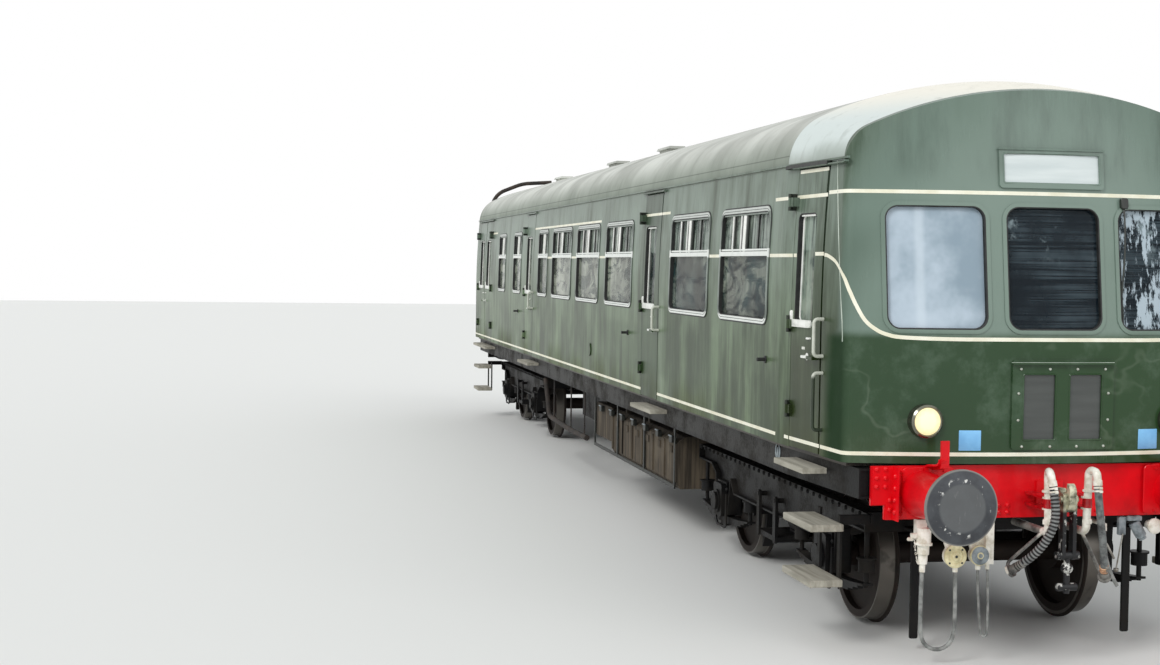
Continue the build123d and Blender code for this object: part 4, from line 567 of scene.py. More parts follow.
def roof_paint(f):
    """Roof paint: pale chalky grey with dark soot along the middle, rain runs across and green edges."""
    runs = f.noise(1, 4, 0.6, (6, 0.8, 1.2))
    cloud = f.noise(1.1, 5, 0.6)
    soot = f.within(abs(f.y), -1, 0.35, 0.3) * f.ease(runs, 0.45, 0.7)
    seam = f.within(abs(f.z - 3.262), -1, 0.004, 0.002)
    colour = f.over(f.mix(f.ease(cloud, 0.3, 0.7), "roof", (206, 208, 200)),
                    ((1 - f.ease(f.z, 3.2, 3.52)) * 0.9, f.mix(cloud, (96, 108, 94), (132, 142, 128))),
                    (f.ease(runs, 0.52, 0.75) * 0.4, (110, 112, 102)),
                    (soot * 0.3, (90, 88, 84)),
                    (seam * 0.6, (60, 66, 58)))
    ribs = f.within((f.x + 20) % 1.02, 0.5, 0.53, 0.006)
    f.set(Base_Color=colour, Roughness=0.62 + (runs - 0.5) * 0.3,
          Normal=f.bump(ribs * 0.5 + cloud * 0.3 + f.noise(40) * 0.06, 0.4, 0.012))


def dome_paint(f):
    """Cab dome: grey green at its foot, bleached to cream grey on top, with faint rain runs."""
    cloud = f.noise(1.6, 5, 0.6)
    top = f.ease(f.z + (cloud - 0.5) * 0.14, 3.2, 3.34)
    colour = f.over(f.mix(f.ease(cloud, 0.3, 0.75), (144, 156, 146), (168, 178, 170)),
                    (top, f.mix(f.ease(f.z, 3.45, 3.7), (202, 211, 207), (230, 226, 212))),
                    (f.ease(f.noise(1, 4, 0.6, (9, 9, 1)), 0.55, 0.78) * 0.3, (120, 126, 116)))
    f.set(Base_Color=colour, Roughness=0.4 + top * 0.25, Normal=f.bump(cloud + f.noise(50) * 0.08, 0.25),
          Coat_Weight=0.15)


def under_black(f):
    """Frames and bogies: black paint under brown brake dust with darker oily patches, all kept very dark as
    painted shade under the body; the solebar, out of that shade, a little greyer.
    """
    cloud = f.noise(3, 6, 0.62)
    grain = f.noise(55, 4, 0.6)
    dusty = f.ease(cloud + (grain - 0.5) * 0.35, 0.42, 0.72)
    sole = f.within(f.z, 1.08, 1.3, 0.02) * f.ease(abs(f.y), 1.28, 1.3)
    # The base colours are kept very dark as painted shade under the body; the solebar is left greyer where
    # the light falls.
    colour = f.over(f.mix(dusty, (5, 5, 6), (34, 31, 27)),
                    (f.ease(f.noise(9, 4), 0.6, 0.74) * 0.5, (14, 14, 16)),
                    (sole * 0.7, f.mix(cloud, (20, 20, 19), (48, 46, 42))))
    f.set(Base_Color=colour, Roughness=0.5 + dusty * 0.4, Specular_IOR_Level=0.22,
          Normal=f.bump(grain + f.cells(35) * 0.5, 0.35, 0.004))


def wheel_steel(f):
    """Wheelsets: rusty brown centres kept very dark as painted shade under the body, with a bright band on
    the tread, found by distance from each axle.
    """
    radius = 0
    for axle in AXLES:
        radius = radius + f.round(f.x, axle, AXLE_Z) * (abs(f.x - axle) < 0.7)
    cloud = f.noise(9, 6, 0.6)
    tread = f.within(radius, 0.444, 0.466, 0.004)
    # The centres are kept very dark as painted shade under the body.
    colour = f.over(f.mix(cloud, (20, 17, 16), (50, 40, 33)),
                    (tread * 0.85, (112, 108, 102)),
                    (f.ease(f.noise(5), 0.55, 0.68) * 0.5, (26, 24, 22)))
    f.set(Base_Color=colour, Roughness=0.7 - tread * 0.36, Metallic=0.25 + tread * 0.5,
          Normal=f.bump(cloud + f.noise(80) * 0.3, 0.35, 0.003), Specular_IOR_Level=0.3)


def beam_red(f):
    """Buffer beam: thick glossy red, darker where dirt settles, sooty on its stays far behind."""
    cloud = f.noise(4, 5, 0.6)
    low = 1 - f.ease(f.z, 0.93, 1.1)
    colour = f.over(f.mix(f.ease(cloud, 0.3, 0.8), "beam", (190, 2, 14)),
                    (low * f.ease(cloud, 0.5, 0.75) * 0.35, (110, 6, 12)),
                    ((1 - f.ease(f.x, 8.1, 8.45)) * 0.9, (34, 30, 28)))
    f.set(Base_Color=colour, Roughness=0.32 + cloud * 0.15, Coat_Weight=0.12, Specular_IOR_Level=0.25,
          Normal=f.bump(f.noise(7, 2) + f.noise(60) * 0.03, 0.3, 0.006))


def buffer_grey(f):
    """Buffer heads: dark grey paint, a worn paler disc, bright chips round it that are partly wear and partly
    painted glints, and a painted highlight on the rim.
    """
    radius = f.round(abs(f.y), BUFFER_Y, BUFFER_Z)
    cloud = f.noise(11, 6, 0.62)
    disc = 1 - f.ease(radius + (cloud - 0.5) * 0.03, 0.135, 0.155)
    ring = f.within(radius + (cloud - 0.5) * 0.02, 0.15, 0.178, 0.012)
    scratch = f.ease(f.noise(1, 3, 0.6, (1, 40, 9)), 0.62, 0.72)
    # Bright chips round the ring, partly wear and partly painted glints.
    chip_and_glint = f.ease(f.noise(26), 0.6, 0.66) * ring
    # The pale band at the outer rim is a painted highlight.
    colour = f.over(f.mix(f.ease(cloud, 0.3, 0.7), (54, 56, 60), (72, 75, 79)),
                    (disc * 0.55, (104, 106, 106)),
                    (scratch * disc * 0.4, (150, 150, 146)),
                    (chip_and_glint, (205, 205, 200)),
                    (f.ease(radius, 0.216, 0.226) * 0.6, (150, 148, 142)))
    f.set(Base_Color=colour, Roughness=0.34 + cloud * 0.22 - chip_and_glint * 0.1, Metallic=0.25,
          Normal=f.bump(cloud + f.noise(90) * 0.2, 0.3, 0.003))


def window_glass(f):
    """Glazing: dark panes with painted reflections of wisps and twigs, and a pale painted reflection of the
    sky on the left windscreen.

    left, other and leaf are 1 on the left windscreen, on the two others, and on the cab doors' panes.
    """
    film_and_reflection = f.noise(2.2, 4, 0.6)
    rain = f.noise(1, 3, 0.6, (30, 30, 2))
    wisps = f.noise(1, 7, 0.62, (1.5, 1, 4.2), 1.6)
    patch = f.ease(f.noise(1.1), 0.4, 0.62)
    # far, more and mirrored set painted reflections of wisps on the side windows, stronger towards the far
    # end.
    far = 1 - f.ease(f.x, 1.8, 3.4)
    more = 0.65 + far * 0.35 + f.ease(f.x, 5.6, 6.2) * 0.8
    mirrored = f.ease(wisps, 0.4, 0.58) * (0.35 + patch * 0.65) * more + far * 0.35
    face = f.ease(f.x, 8.2, 8.3)
    left = face * (1 - f.ease(f.y, -0.42, -0.36))
    other = face * f.ease(f.y, -0.4, -0.36)
    leaf = f.within(f.x, CAB_HINGE, CAB_LATCH)
    # bars, bright and twigs paint reflections on the other two windscreens: dark bands, pale patches of sky
    # near their tops and pale twigs on the right one.
    bars = f.noise(1, 2, 0.5, (1, 1, 70))
    twigs = f.ease(f.noise(1, 6, 0.75, (1, 13, 4.5)), 0.5, 0.56) * f.ease(f.y, 0.36, 0.42)
    bright = f.ease(f.noise(3.4, 5, 0.7), 0.56, 0.66) * f.ease(f.z, 2.5, 2.75) * 0.7
    dark = f.over(f.mix(f.ease(bars, 0.35, 0.65) * f.ease(film_and_reflection, 0.3, 0.7), (20, 28, 34), (64, 76, 82)),
                  (bright, (150, 166, 170)),
                  (twigs, (176, 190, 198)))
    # The left windscreen is painted pale as a reflection of the sky, with a brighter upright streak as a
    # painted highlight.
    sky_reflection = f.ease(film_and_reflection + (0.5 - f.ease(f.y, -1.05, -0.5)) * 0.2, 0.3, 0.7)
    seen = f.over(f.mix(sky_reflection, (146, 164, 176), (194, 208, 219)),
                  (f.within(f.y, -0.9, -0.845, 0.02) * 0.5, (214, 226, 234)))
    # The panes above the transom and the cab doors' panes take pale painted reflections too.
    colour = f.over(f.mix(f.ease(film_and_reflection, 0.35, 0.65), (4, 18, 22), (48, 72, 72)),
                    (mirrored, f.mix(rain, (112, 120, 106), (186, 190, 174))),
                    (f.ease(f.z, 2.6, 2.62) * 0.75,
                     f.mix(f.ease(rain, 0.35, 0.6), (44, 58, 52), (168, 180, 170))),
                    (left, seen),
                    (other, dark),
                    (leaf * f.ease(rain, 0.3, 0.7) * 0.7, (140, 158, 142)))
    alpha = (0.6 + mirrored * 0.34) * (1 - face) * (1 - leaf) + leaf * 0.92 + left * 0.86 + other * 0.93
    f.set(Base_Color=colour, Roughness=0.06 + film_and_reflection * 0.08, Alpha=alpha, IOR=1.5, Specular_IOR_Level=0.07)


def seat_moquette(f):
    """Seat moquette: short blue-grey pile in a small check, darker where it is worn."""
    check = (f.within((f.y + 5) % 0.06, 0, 0.03, 0.004) + f.within((f.z + 5) % 0.06, 0, 0.03, 0.004)) * 0.5
    colour = f.over(f.mix(check, (44, 60, 84), (92, 50, 52)),
                    (f.ease(f.noise(4, 4), 0.5, 0.75) * 0.4, (96, 96, 92)))
    f.set(Base_Color=colour, Roughness=0.92, Normal=f.bump(f.noise(400, 2) + check * 0.3, 0.5, 0.003),
          Sheen_Weight=0.3)


def battery_boards(f):
    """Battery boxes: upright painted boards under brown dust, with dark joints and a shaded top."""
    joint = f.within((f.x + 20) % 0.115, -1, 0.008, 0.003)
    board = f.noise(1, 4, 0.6, (26, 26, 1.2))
    colour = f.over(f.mix(f.ease(board, 0.3, 0.7), (46, 41, 35), (96, 86, 72)),
                    (f.ease(f.noise(2.2, 5), 0.5, 0.75) * 0.45, (118, 108, 92)),
                    (f.ease(f.z, 0.82, 1.02) * 0.8, (24, 22, 20)),
                    (joint * 0.85, (20, 18, 16)))
    f.set(Base_Color=colour, Roughness=0.82, Normal=f.bump(board * 0.4 - joint, 0.5, 0.006),
          Specular_IOR_Level=0.25)


def gangway_cloth(f):
    """Gangway bellows: dull black rubberised cloth, dusty on its folds."""
    dust = f.noise(3, 5)
    weave = f.node("ShaderNodeTexWave", None, {"Vector": f.place, "Scale": 90, "Distortion": 1})
    f.set(Base_Color=f.mix(f.ease(dust, 0.4, 0.75), (26, 26, 27), (74, 72, 68)), Roughness=0.85,
          Normal=f.bump(weave * 0.3 + dust, 0.3, 0.004))


def blind_cloth(f):
    """Roller blinds: woven cloth with faint rolls, dark in the lower windows and pale in the upper one."""
    roll = f.noise(1, 3, 0.5, (2, 2, 22))
    colour = f.mix(f.ease(f.z, 2.5, 2.6), f.mix(roll, (44, 48, 46), (74, 78, 75)),
                   f.mix(roll, (176, 188, 188), (222, 228, 226)))
    f.set(Base_Color=colour, Roughness=0.55, Normal=f.bump(roll + f.noise(300, 3) * 0.2, 0.3, 0.004),
          Coat_Weight=0.4)


def marker_lens(f):
    """Marker lamp: chrome rim round a lit cream lens with fine rings."""
    radius = f.round(abs(f.y), LAMP_Y, LAMP_Z)
    lens = 1 - f.ease(radius, 0.0845, 0.0875)
    glow = 1 - f.ease(radius + (f.noise(40, 4) - 0.5) * 0.05, 0.04, 0.092)
    rings = (radius % 0.012) * (1 / 0.012)
    f.set(Base_Color=f.mix(lens, (120, 120, 108), f.mix(glow, (240, 224, 172), (252, 240, 198))),
          Metallic=(1 - lens) * 0.9, Roughness=0.2 + lens * 0.1, Emission_Strength=0.55,
          Emission_Color=f.mix(lens, (0, 0, 0), f.mix(glow, (206, 188, 134), (232, 216, 162))),
          Normal=f.bump(rings * lens, 0.3, 0.002))


def hose_rubber(f):
    """Ribbed hose: black in its grooves as painted shade, grey on its ribs as dust and painted highlight, by
    the rib attribute of its mesh.
    """
    rib = f.node("ShaderNodeAttribute", {"attribute_name": "rib"}, output=2)
    cloud = f.noise(20, 4)
    ridge = f.mix(f.ease(cloud, 0.3, 0.7), (92, 94, 94), (136, 138, 136))
    # Black grooves are painted shade; the grey ribs are partly dust and partly painted highlight.
    f.set(Base_Color=f.mix(f.ease(rib, 0.25, 0.8), (14, 14, 15), ridge), Roughness=0.5 + cloud * 0.2,
          Normal=f.bump(f.noise(150), 0.25, 0.002))


def frame_alloy(f):
    """Window frames: alloy, the rails across and the top painted bright as highlights, the uprights duller
    and greyer.
    """
    cloud = f.noise(12, 4)
    # The rails across and the top are painted bright as highlights on the alloy.
    rails = f.within(f.z, 1.9, 2.128, 0.006) + f.within(f.z, 2.565, 2.628, 0.004)
    colour = f.mix(rails + f.ease(f.z, 2.888, 2.9) * 0.6, f.mix(cloud, (84, 96, 86), (136, 148, 138)),
                   f.mix(cloud, (206, 212, 206), (240, 242, 236)))
    f.set(Base_Color=colour, Roughness=0.34, Metallic=0.2, Normal=f.bump(f.noise(60), 0.12, 0.002))


def pipe_white(f):
    """Brake pipes: thick white paint with grey stains, the rest bars under them bare dark steel."""
    cloud = f.noise(16, 5, 0.6)
    reach = abs(f.y)
    low = 1 - f.ease(f.z, 0.79, 0.83) * (1 - f.within(reach, 0.17, 0.4, 0.006) * (1 - f.ease(f.z, 0.88, 0.9)))
    low = (low + (1 - f.ease(f.x, 8.8, 8.83)) * f.ease(f.x, 8.0, 8.1)) * (1 - f.ease(reach, 0.34, 0.36))
    colour = f.mix(low * 0.95, f.mix(f.ease(cloud, 0.35, 0.75), (238, 235, 224), (188, 180, 158)),
                   f.mix(f.ease(cloud, 0.3, 0.65), (34, 33, 32), (126, 124, 118)))
    f.set(Base_Color=colour, Roughness=0.34 + cloud * 0.15, Coat_Weight=0.3,
          Normal=f.bump(f.noise(60) + cloud * 0.5, 0.25, 0.003))


def rail_paint(f):
    """Grab rails: pale worn paint on the upper ones, body green on the lower."""
    cloud = f.noise(22, 4)
    colour = f.mix(1 - f.ease(f.z, 1.77, 1.8), f.mix(cloud, (168, 172, 158), (216, 218, 206)),
                   f.mix(cloud, (26, 34, 24), (58, 70, 52)))
    f.set(Base_Color=colour, Roughness=0.4, Normal=f.bump(cloud, 0.2, 0.002))


def casting_olive(f):
    """Drawhook in greasy cream paint, the screw below it black with bright spots painted as glints on worn
    metal, its plate beam red.
    """
    cloud = f.noise(16, 6, 0.62)
    cream = f.mix(f.ease(cloud, 0.38, 0.66), (206, 204, 176), (86, 86, 68))
    # The bright specks on the black screw are painted glints.
    black = f.mix(f.ease(cloud, 0.56, 0.62), (26, 26, 28), (200, 200, 194))
    plate = f.ease(f.x, 8.672, 8.664) * f.ease(f.x, 8.0, 8.1)
    f.set(Base_Color=f.mix(plate, f.mix(f.ease(f.z, 0.985, 1.02), black, cream), "beam"),
          Roughness=0.3 + cloud * 0.3, Metallic=0.3, Normal=f.bump(cloud + f.noise(90) * 0.3, 0.4, 0.003))


def plain(f, first, second, scale, rough, metallic=0, bump=0.25, grain=60, coat=0, stretch=None):
    """A finish of two near colours in a cloudy mix, with a fine grain in its bump and roughness."""
    cloud = f.noise(scale, 5, 0.6, stretch)
    fine = f.noise(grain)
    f.set(Base_Color=f.mix(f.ease(cloud, 0.3, 0.72), first, second), Roughness=rough + (fine - 0.5) * 0.2,
          Metallic=metallic, Normal=f.bump(fine + cloud * 0.5, bump, 0.003), Coat_Weight=coat)


MAKERS = {maker.__name__: maker for maker in (
    coach_green, roof_paint, dome_paint, under_black, wheel_steel, beam_red, buffer_grey, window_glass,
    seat_moquette, battery_boards, gangway_cloth, blind_cloth, marker_lens, hose_rubber, frame_alloy,
    pipe_white, rail_paint, casting_olive)}
# What plain() takes for each of the simpler finishes
PLAIN = {
    "hinge_dark": ((16, 20, 15), (44, 52, 40), 30, 0.6),
    "socket_grey": ((150, 160, 164), (92, 100, 104), 16, 0.4),
    "label_white": ((226, 226, 216), (200, 202, 192), 30, 0.5),
    "black_and_shadow": ((14, 15, 14), (40, 44, 38), 20, 0.5),
    "bolt_highlight": ((206, 210, 200), (150, 156, 142), 60, 0.35, 0.2),
    "alloy_highlight_white": ((240, 240, 234), (214, 216, 208), 14, 0.35),
    "vent_highlight_white": ((246, 246, 240), (222, 224, 216), 14, 0.45),
    "dark_and_shadow": ((18, 22, 20), (44, 50, 44), 14, 0.4),
    "seal_black": ((20, 21, 21), (40, 41, 40), 20, 0.6),
    "lining_cream": ("lining", (222, 218, 192), 5, 0.4),
    "pale_highlight": ((196, 206, 192), (150, 164, 148), 5, 0.35, 0, 0.25, 60, 0.3),
    "square_blue": ("square", (112, 174, 222), 9, 0.4),
    "socket_cream": ((228, 220, 178), (180, 170, 128), 16, 0.4),
    "clamp_red": ((196, 10, 22), (140, 6, 14), 16, 0.3, 0, 0.25, 60, 0.3),
    "clamp_tan": ((214, 168, 130), (150, 104, 76), 20, 0.5),
    "cable_grey": ((150, 152, 148), (84, 86, 84), 18, 0.5),
    "hose_grey": ((120, 124, 122), (58, 60, 60), 26, 0.6, 0, 0.5, 90),
    "soot_black": ((24, 23, 22), (62, 52, 44), 6, 0.8, 0.1, 0.4),
    "floor_lino": ((48, 42, 36), (70, 62, 52), 3, 0.5),
    "partition_wood": ((128, 84, 48), (168, 118, 72), 1, 0.35, 0, 0.25, 60, 0.3, (14, 14, 1.2)),
    "desk_enamel": ((104, 112, 104), (132, 138, 128), 6, 0.4),
    "worn_steel": ((176, 174, 166), (92, 84, 74), 18, 0.35, 0.85, 0.3),
    "step_boards": ((132, 128, 116), (176, 172, 158), 1, 0.85, 0, 0.25, 60, 0, (1.6, 22, 10)),
    "canvas_white": ((224, 222, 212), (196, 194, 184), 10, 0.9, 0, 0.25, 260),
}
made = {}


def finish(name):
    """The named material, made once."""
    if name not in made:
        made[name] = Finish(name)
        if name in PLAIN:
            plain(made[name], *PLAIN[name])
        else:
            MAKERS[name](made[name])
    return made[name].material


NODE_FINISH = {node: look for look, nodes in {
    "coach_green": "side_right side_left cab_front rear_end rain_strips indicator_boxes",
    "roof_paint": "roof roof_vents",
    "under_black": "underframe rear_headstock power_units",
    "pipe_white": "brake_pipes jumper_gear",
    "cable_grey": "thin_hose cable_loop cable_pair",
    "dome_paint": "cab_roof", "hinge_dark": "door_lugs", "gangway_cloth": "gangway", "floor_lino": "floor",
    "partition_wood": "bulkheads", "seat_moquette": "seats", "desk_enamel": "cab_desk",
    "window_glass": "window_glass", "frame_alloy": "window_frames", "blind_cloth": "blinds",
    "marker_lens": "marker_lamps", "beam_red": "buffer_beam", "buffer_grey": "buffer_heads",
    "casting_olive": "couplings", "battery_boards": "battery_boxes", "step_boards": "footboards",
    "soot_black": "exhaust_pipes", "rail_paint": "grab_rails", "seal_black": "door_stops",
    "hose_rubber": "hose_left", "hose_grey": "hose_right",
}.items() for node in nodes.split()}


def node_finish(node):
    """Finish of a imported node, by its name or its kind."""
    if node in NODE_FINISH:
        return NODE_FINISH[node]
    if node.startswith("door_"):
        return "coach_green"
    return "wheel_steel" if node.startswith("wheelset") else "under_black"


def piece(name, shape, finish_name, body="root", hard=42.0):
    """A new mesh from a shape, with its material, riding on a body."""
    mesh = bpy.data.meshes.new(name)
    mesh.from_pydata(shape.points.tolist(), [], shape.faces)
    mesh.validate()
    mesh.shade_smooth()
    mesh.set_sharp_from_angle(angle=math.radians(hard))
    mesh.materials.append(finish(finish_name))
    made_object = bpy.data.objects.new(name, mesh)
    bpy.context.scene.collection.objects.link(made_object)
    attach(made_object, body)
    return made_object


def on_leaves(place, parts):
    """Pieces on a door of both sides: parts are name, shape as on the left side, finish and slot."""
    for side in ("right", "left"):
        for name, shape, look, slot in parts:
            turned_shape = shape.mirrored() if side == "right" else shape
            piece(f"{name}_{side}", turned_shape, look, f"door_{place}_{side}")


def hose_curve(name, route, diameter, finish_name):
    """A NURBS curve of order 3 that starts and ends on its route, as a round tube."""
    curve = bpy.data.curves.new(name, "CURVE")
    curve.dimensions = "3D"
    spline = curve.splines.new("NURBS")
    spline.points.add(len(route) - 1)
    spline.points.foreach_set("co", np.insert(np.asarray(route, float), 3, 1, 1).ravel())
    spline.order_u = 3
    spline.use_endpoint_u = True
    spline.resolution_u = 12
    curve.bevel_depth = diameter / 2
    curve.bevel_resolution = 5
    curve.use_fill_caps = True
    curve.materials.append(finish(finish_name))
    made_object = bpy.data.objects.new(name, curve)
    bpy.context.scene.collection.objects.link(made_object)
    return made_object


def curve_points(name, route):
    """Points along the NURBS line of a route, read from a curve with no bevel."""
    guide = hose_curve(name + "_line", route, 0, "hose_rubber")
    guide.data.use_fill_caps = False
    mesh = bpy.data.meshes.new_from_object(guide)
    points = np.empty(len(mesh.vertices) * 3)
    mesh.vertices.foreach_get("co", points)
    bpy.data.objects.remove(guide)
    bpy.data.meshes.remove(mesh)
    return points.reshape(-1, 3)


# Settings that a user would change


class CoachColours(bpy.types.PropertyGroup):
    """Paint colours."""

    body: bpy.props.FloatVectorProperty(
        name="Body", description="Coach green where it is clean", subtype="COLOR", size=3,
        default=srgb(45, 68, 44))
    body_faded: bpy.props.FloatVectorProperty(
        name="Body, faded", description="Coach green where it is bleached", subtype="COLOR", size=3,
        default=srgb(110, 130, 98))
    roof: bpy.props.FloatVectorProperty(
        name="Roof", description="Roof grey", subtype="COLOR", size=3, default=srgb(160, 162, 154))
    lining: bpy.props.FloatVectorProperty(
        name="Lining", description="Lines along the body", subtype="COLOR", size=3,
        default=srgb(240, 238, 220))
    beam: bpy.props.FloatVectorProperty(
        name="Buffer beam", description="Beam and buffer housings", subtype="COLOR", size=3,
        default=srgb(226, 4, 20))
    square: bpy.props.FloatVectorProperty(
        name="Squares", description="Coupling code squares on the face", subtype="COLOR", size=3,
        default=srgb(128, 190, 234))


class CoachSizes(bpy.types.PropertyGroup):
    """Sizes of the fittings."""

    line_width: bpy.props.FloatProperty(
        name="Line width", description="Width of a lining stripe", default=0.024, unit="LENGTH")
    frame_width: bpy.props.FloatProperty(
        name="Droplight frame", description="Width of the frame round a door window", default=0.03,
        unit="LENGTH")
    rib_pitch: bpy.props.FloatProperty(
        name="Rib pitch", description="Distance between the ribs of the left hose", default=0.0235,
        unit="LENGTH")
    rivet_pitch: bpy.props.FloatProperty(
        name="Rivet pitch", description="Distance between rivets on the beam", default=0.057, unit="LENGTH")
    floor_size: bpy.props.FloatProperty(
        name="Floor", description="Side of the floor", default=160.0, unit="LENGTH")


# Pieces


class COACH_OT_paint(bpy.types.Operator):
    """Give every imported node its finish."""

    bl_idname = "coach.paint"
    bl_label = "Paint"

    def execute(self, context):
        for name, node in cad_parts.items():
            material = finish(node_finish(name))
            if not node.material_slots:
                node.data.materials.append(material)
            for slot in node.material_slots:
                slot.material = material
        return {"FINISHED"}


class COACH_OT_lining(bpy.types.Operator):
    """Lay the cream lines along the sides, the doors and the front, a pale painted highlight along the cab
    doors' tops, and pale strips down its corners as painted highlights.
    """

    bl_idname = "coach.lining"
    bl_label = "Lining"

    def execute(self, context):
        width = size_value("line_width")
        gap = 0.012
        low_z, middle_z, waist_z, upper_z = 1.33, 2.575, 2.056, 2.981
        cab_z, door_top_highlight_z, saloon_z, rear_z = 2.968, 3.138, 2.962, 2.957
        body_end = 7.59

        def straight(first, last, z):
            on_face = first * last < 0 or min(abs(first), abs(last)) < 1.42
            count = max(6, int(abs(last - first) / (0.015 if on_face else 0.25)))
            return ribbon(np.linspace(first, last, count), np.full(count, z), width)

        def side_runs(*runs):
            return sum(straight(s_of(front, z), s_of(rear, z), z) for front, rear, z in runs)

        # Pale strips down the corners are a painted highlight on the rounded corner.
        corner_highlight_z = np.linspace(2.03, 3.19, 40)
        corner_highlight_s = 1.395 + np.maximum(0, corner_highlight_z - 2.15) * 0.07
        piece("corner_highlights", ribbon(corner_highlight_s, corner_highlight_z, 0.011).both(), "pale_highlight")
        saloon_front, rear_front = SALOON_HINGE + DOOR_WIDTH, REAR_HINGE + DOOR_WIDTH
        between = [(back(ahead) - wide / 2 - gap, back(centre) + own / 2 + gap, middle_z)
                   for (ahead, wide), (centre, own) in zip(WINDOWS, WINDOWS[1:])
                   if centre - own / 2 - ahead - wide / 2 < 0.7]
        sides = side_runs(
            (body_end, saloon_front + gap, low_z), (SALOON_HINGE - gap, rear_front + gap, low_z),
            (REAR_HINGE - gap, LUGGAGE_X + 0.73 + gap, low_z), (LUGGAGE_X - 0.73 - gap, REAR_X + 0.01, low_z),
            *between, (body_end, back(2.21) + 0.642, middle_z), (body_end, 7.17, cab_z),
            (saloon_front + 0.3, saloon_front + gap, saloon_z),
            (SALOON_HINGE - gap, SALOON_HINGE - 0.16, saloon_z),
            (back(7.45), rear_front + gap, rear_z), (back(15.1), LUGGAGE_X + 0.75, rear_z))
        piece("lining_sides", sides.both(), "lining_cream")
        whisker = smooth_run([(0.0, waist_z), (0.35, waist_z), (0.706, waist_z), (1.0, 2.064), (1.10, 2.08),
                              (1.17, 2.11), (1.238, 2.167), (1.293, 2.263), (1.333, 2.355), (1.378, 2.45),
                              (1.477, 2.53), (1.6, 2.57), (1.662, 2.578)], 180)
        face = sum(straight(-s_of(8.15, z), s_of(8.15, z), z) for z in (low_z, upper_z))
        face = face + ribbon(whisker[:, 0], whisker[:, 1], width).both()
        piece("lining_front", face, "lining_cream")
        edges = {  # X of each leaf's rear and front edge
            "cab": (CAB_HINGE + 0.004, CAB_HINGE + 0.53),
            "saloon": (SALOON_HINGE, saloon_front),
            "rear": (REAR_HINGE, rear_front),
            "luggage_rear": (LUGGAGE_X - 0.7245, LUGGAGE_X - 0.006),
            "luggage_front": (LUGGAGE_X + 0.006, LUGGAGE_X + 0.7245),
        }
        for place, (rear, front) in edges.items():
            first, last = front - 0.003, rear + 0.003
            runs = [(first, last, saloon_z if place == "saloon" else low_z)]
            # On the cab doors the last run, along the leaf's top under the hood, is a pale painted highlight,
            # not a line.
            if place == "cab":
                runs += [(first, last, cab_z), (first, 7.985, 2.584), (7.66, last, middle_z),
                         (front - 0.02, rear + 0.02, door_top_highlight_z)]
            on_leaves(place, [(f"lining_door_{place}", side_runs(*runs), "lining_cream", "body_green")])
        return {"FINISHED"}


class COACH_OT_windows(bpy.types.Operator):
    """Fit the ventilators' bars and runners at the side windows, and the black seals round frame and pane.
    The bars are near white as painted highlights on the vents' edges, with dark strips beside them as painted
    shadows.
    """

    bl_idname = "coach.windows"
    bl_label = "Side windows"

    def execute(self, context):
        middle_z = WINDOW_BOTTOM + WINDOW_HEIGHT / 2
        low, high = TRANSOM_Z + 0.017, WINDOW_BOTTOM + WINDOW_HEIGHT - 0.034
        seals, white, dark, runners = [], [], [], []
        # Seals: growth over the window, corner, bar, and where the bar's depth starts and ends
        rims = ((0.02, 0.105, 0.012, 0, 0.005), (-0.066, 0.063, 0.008, -0.02, 0.009),
                (-0.03, 0.084, 0.006, -0.01, 0.0095))
        for centre, width in WINDOWS:
            x = back(centre)
            seals += [rim(on_side, x, middle_z, width + grow, WINDOW_HEIGHT + grow, *rest)
                      for grow, *rest in rims]
            # The white bars are the vents' edges painted near white as highlights; the dark bars beside them
            # are painted shadows.
            quarter = width * 0.25
            if width > 1:
                rows = ((white, 0, ((-0.02, 0.062), (-0.105, 0.02), (-quarter, 0.024))),
                        (dark, -0.003, ((0.035, 0.036), (-0.07, 0.026), (0.032 - quarter, 0.026),
                                        (quarter, 0.02))))
            else:
                rows = ((white, 0, ((0.06, 0.03), (-0.02, 0.03))),
                        (dark, -0.006, ((0.02, 0.02), (-width * 0.3, 0.016))))
            for bars, out, places in rows:
                for offset, wide in places:
                    corner = min(wide, high - low) * 0.3
                    bars.append(raised(on_side, x + offset, (low + high) / 2, (wide, high - low), corner, 3,
                                       (1, out - 0.012), (1, out - 0.002), (0.96, out)))
            for z in (low + 0.012, high - 0.012):
                size = (width - 0.07, 0.014)
                runners.append(raised(on_side, x, z, size, 0.006, 3, (1, -0.014), (1, 0.002)))
        piece("window_seals", sum(seals).both(), "seal_black")
        piece("vent_bar_highlights", sum(white).both(), "vent_highlight_white")
        piece("vent_bar_shadows", sum(dark).both(), "dark_and_shadow")
        piece("vent_runners", sum(runners).both(), "frame_alloy")
        return {"FINISHED"}


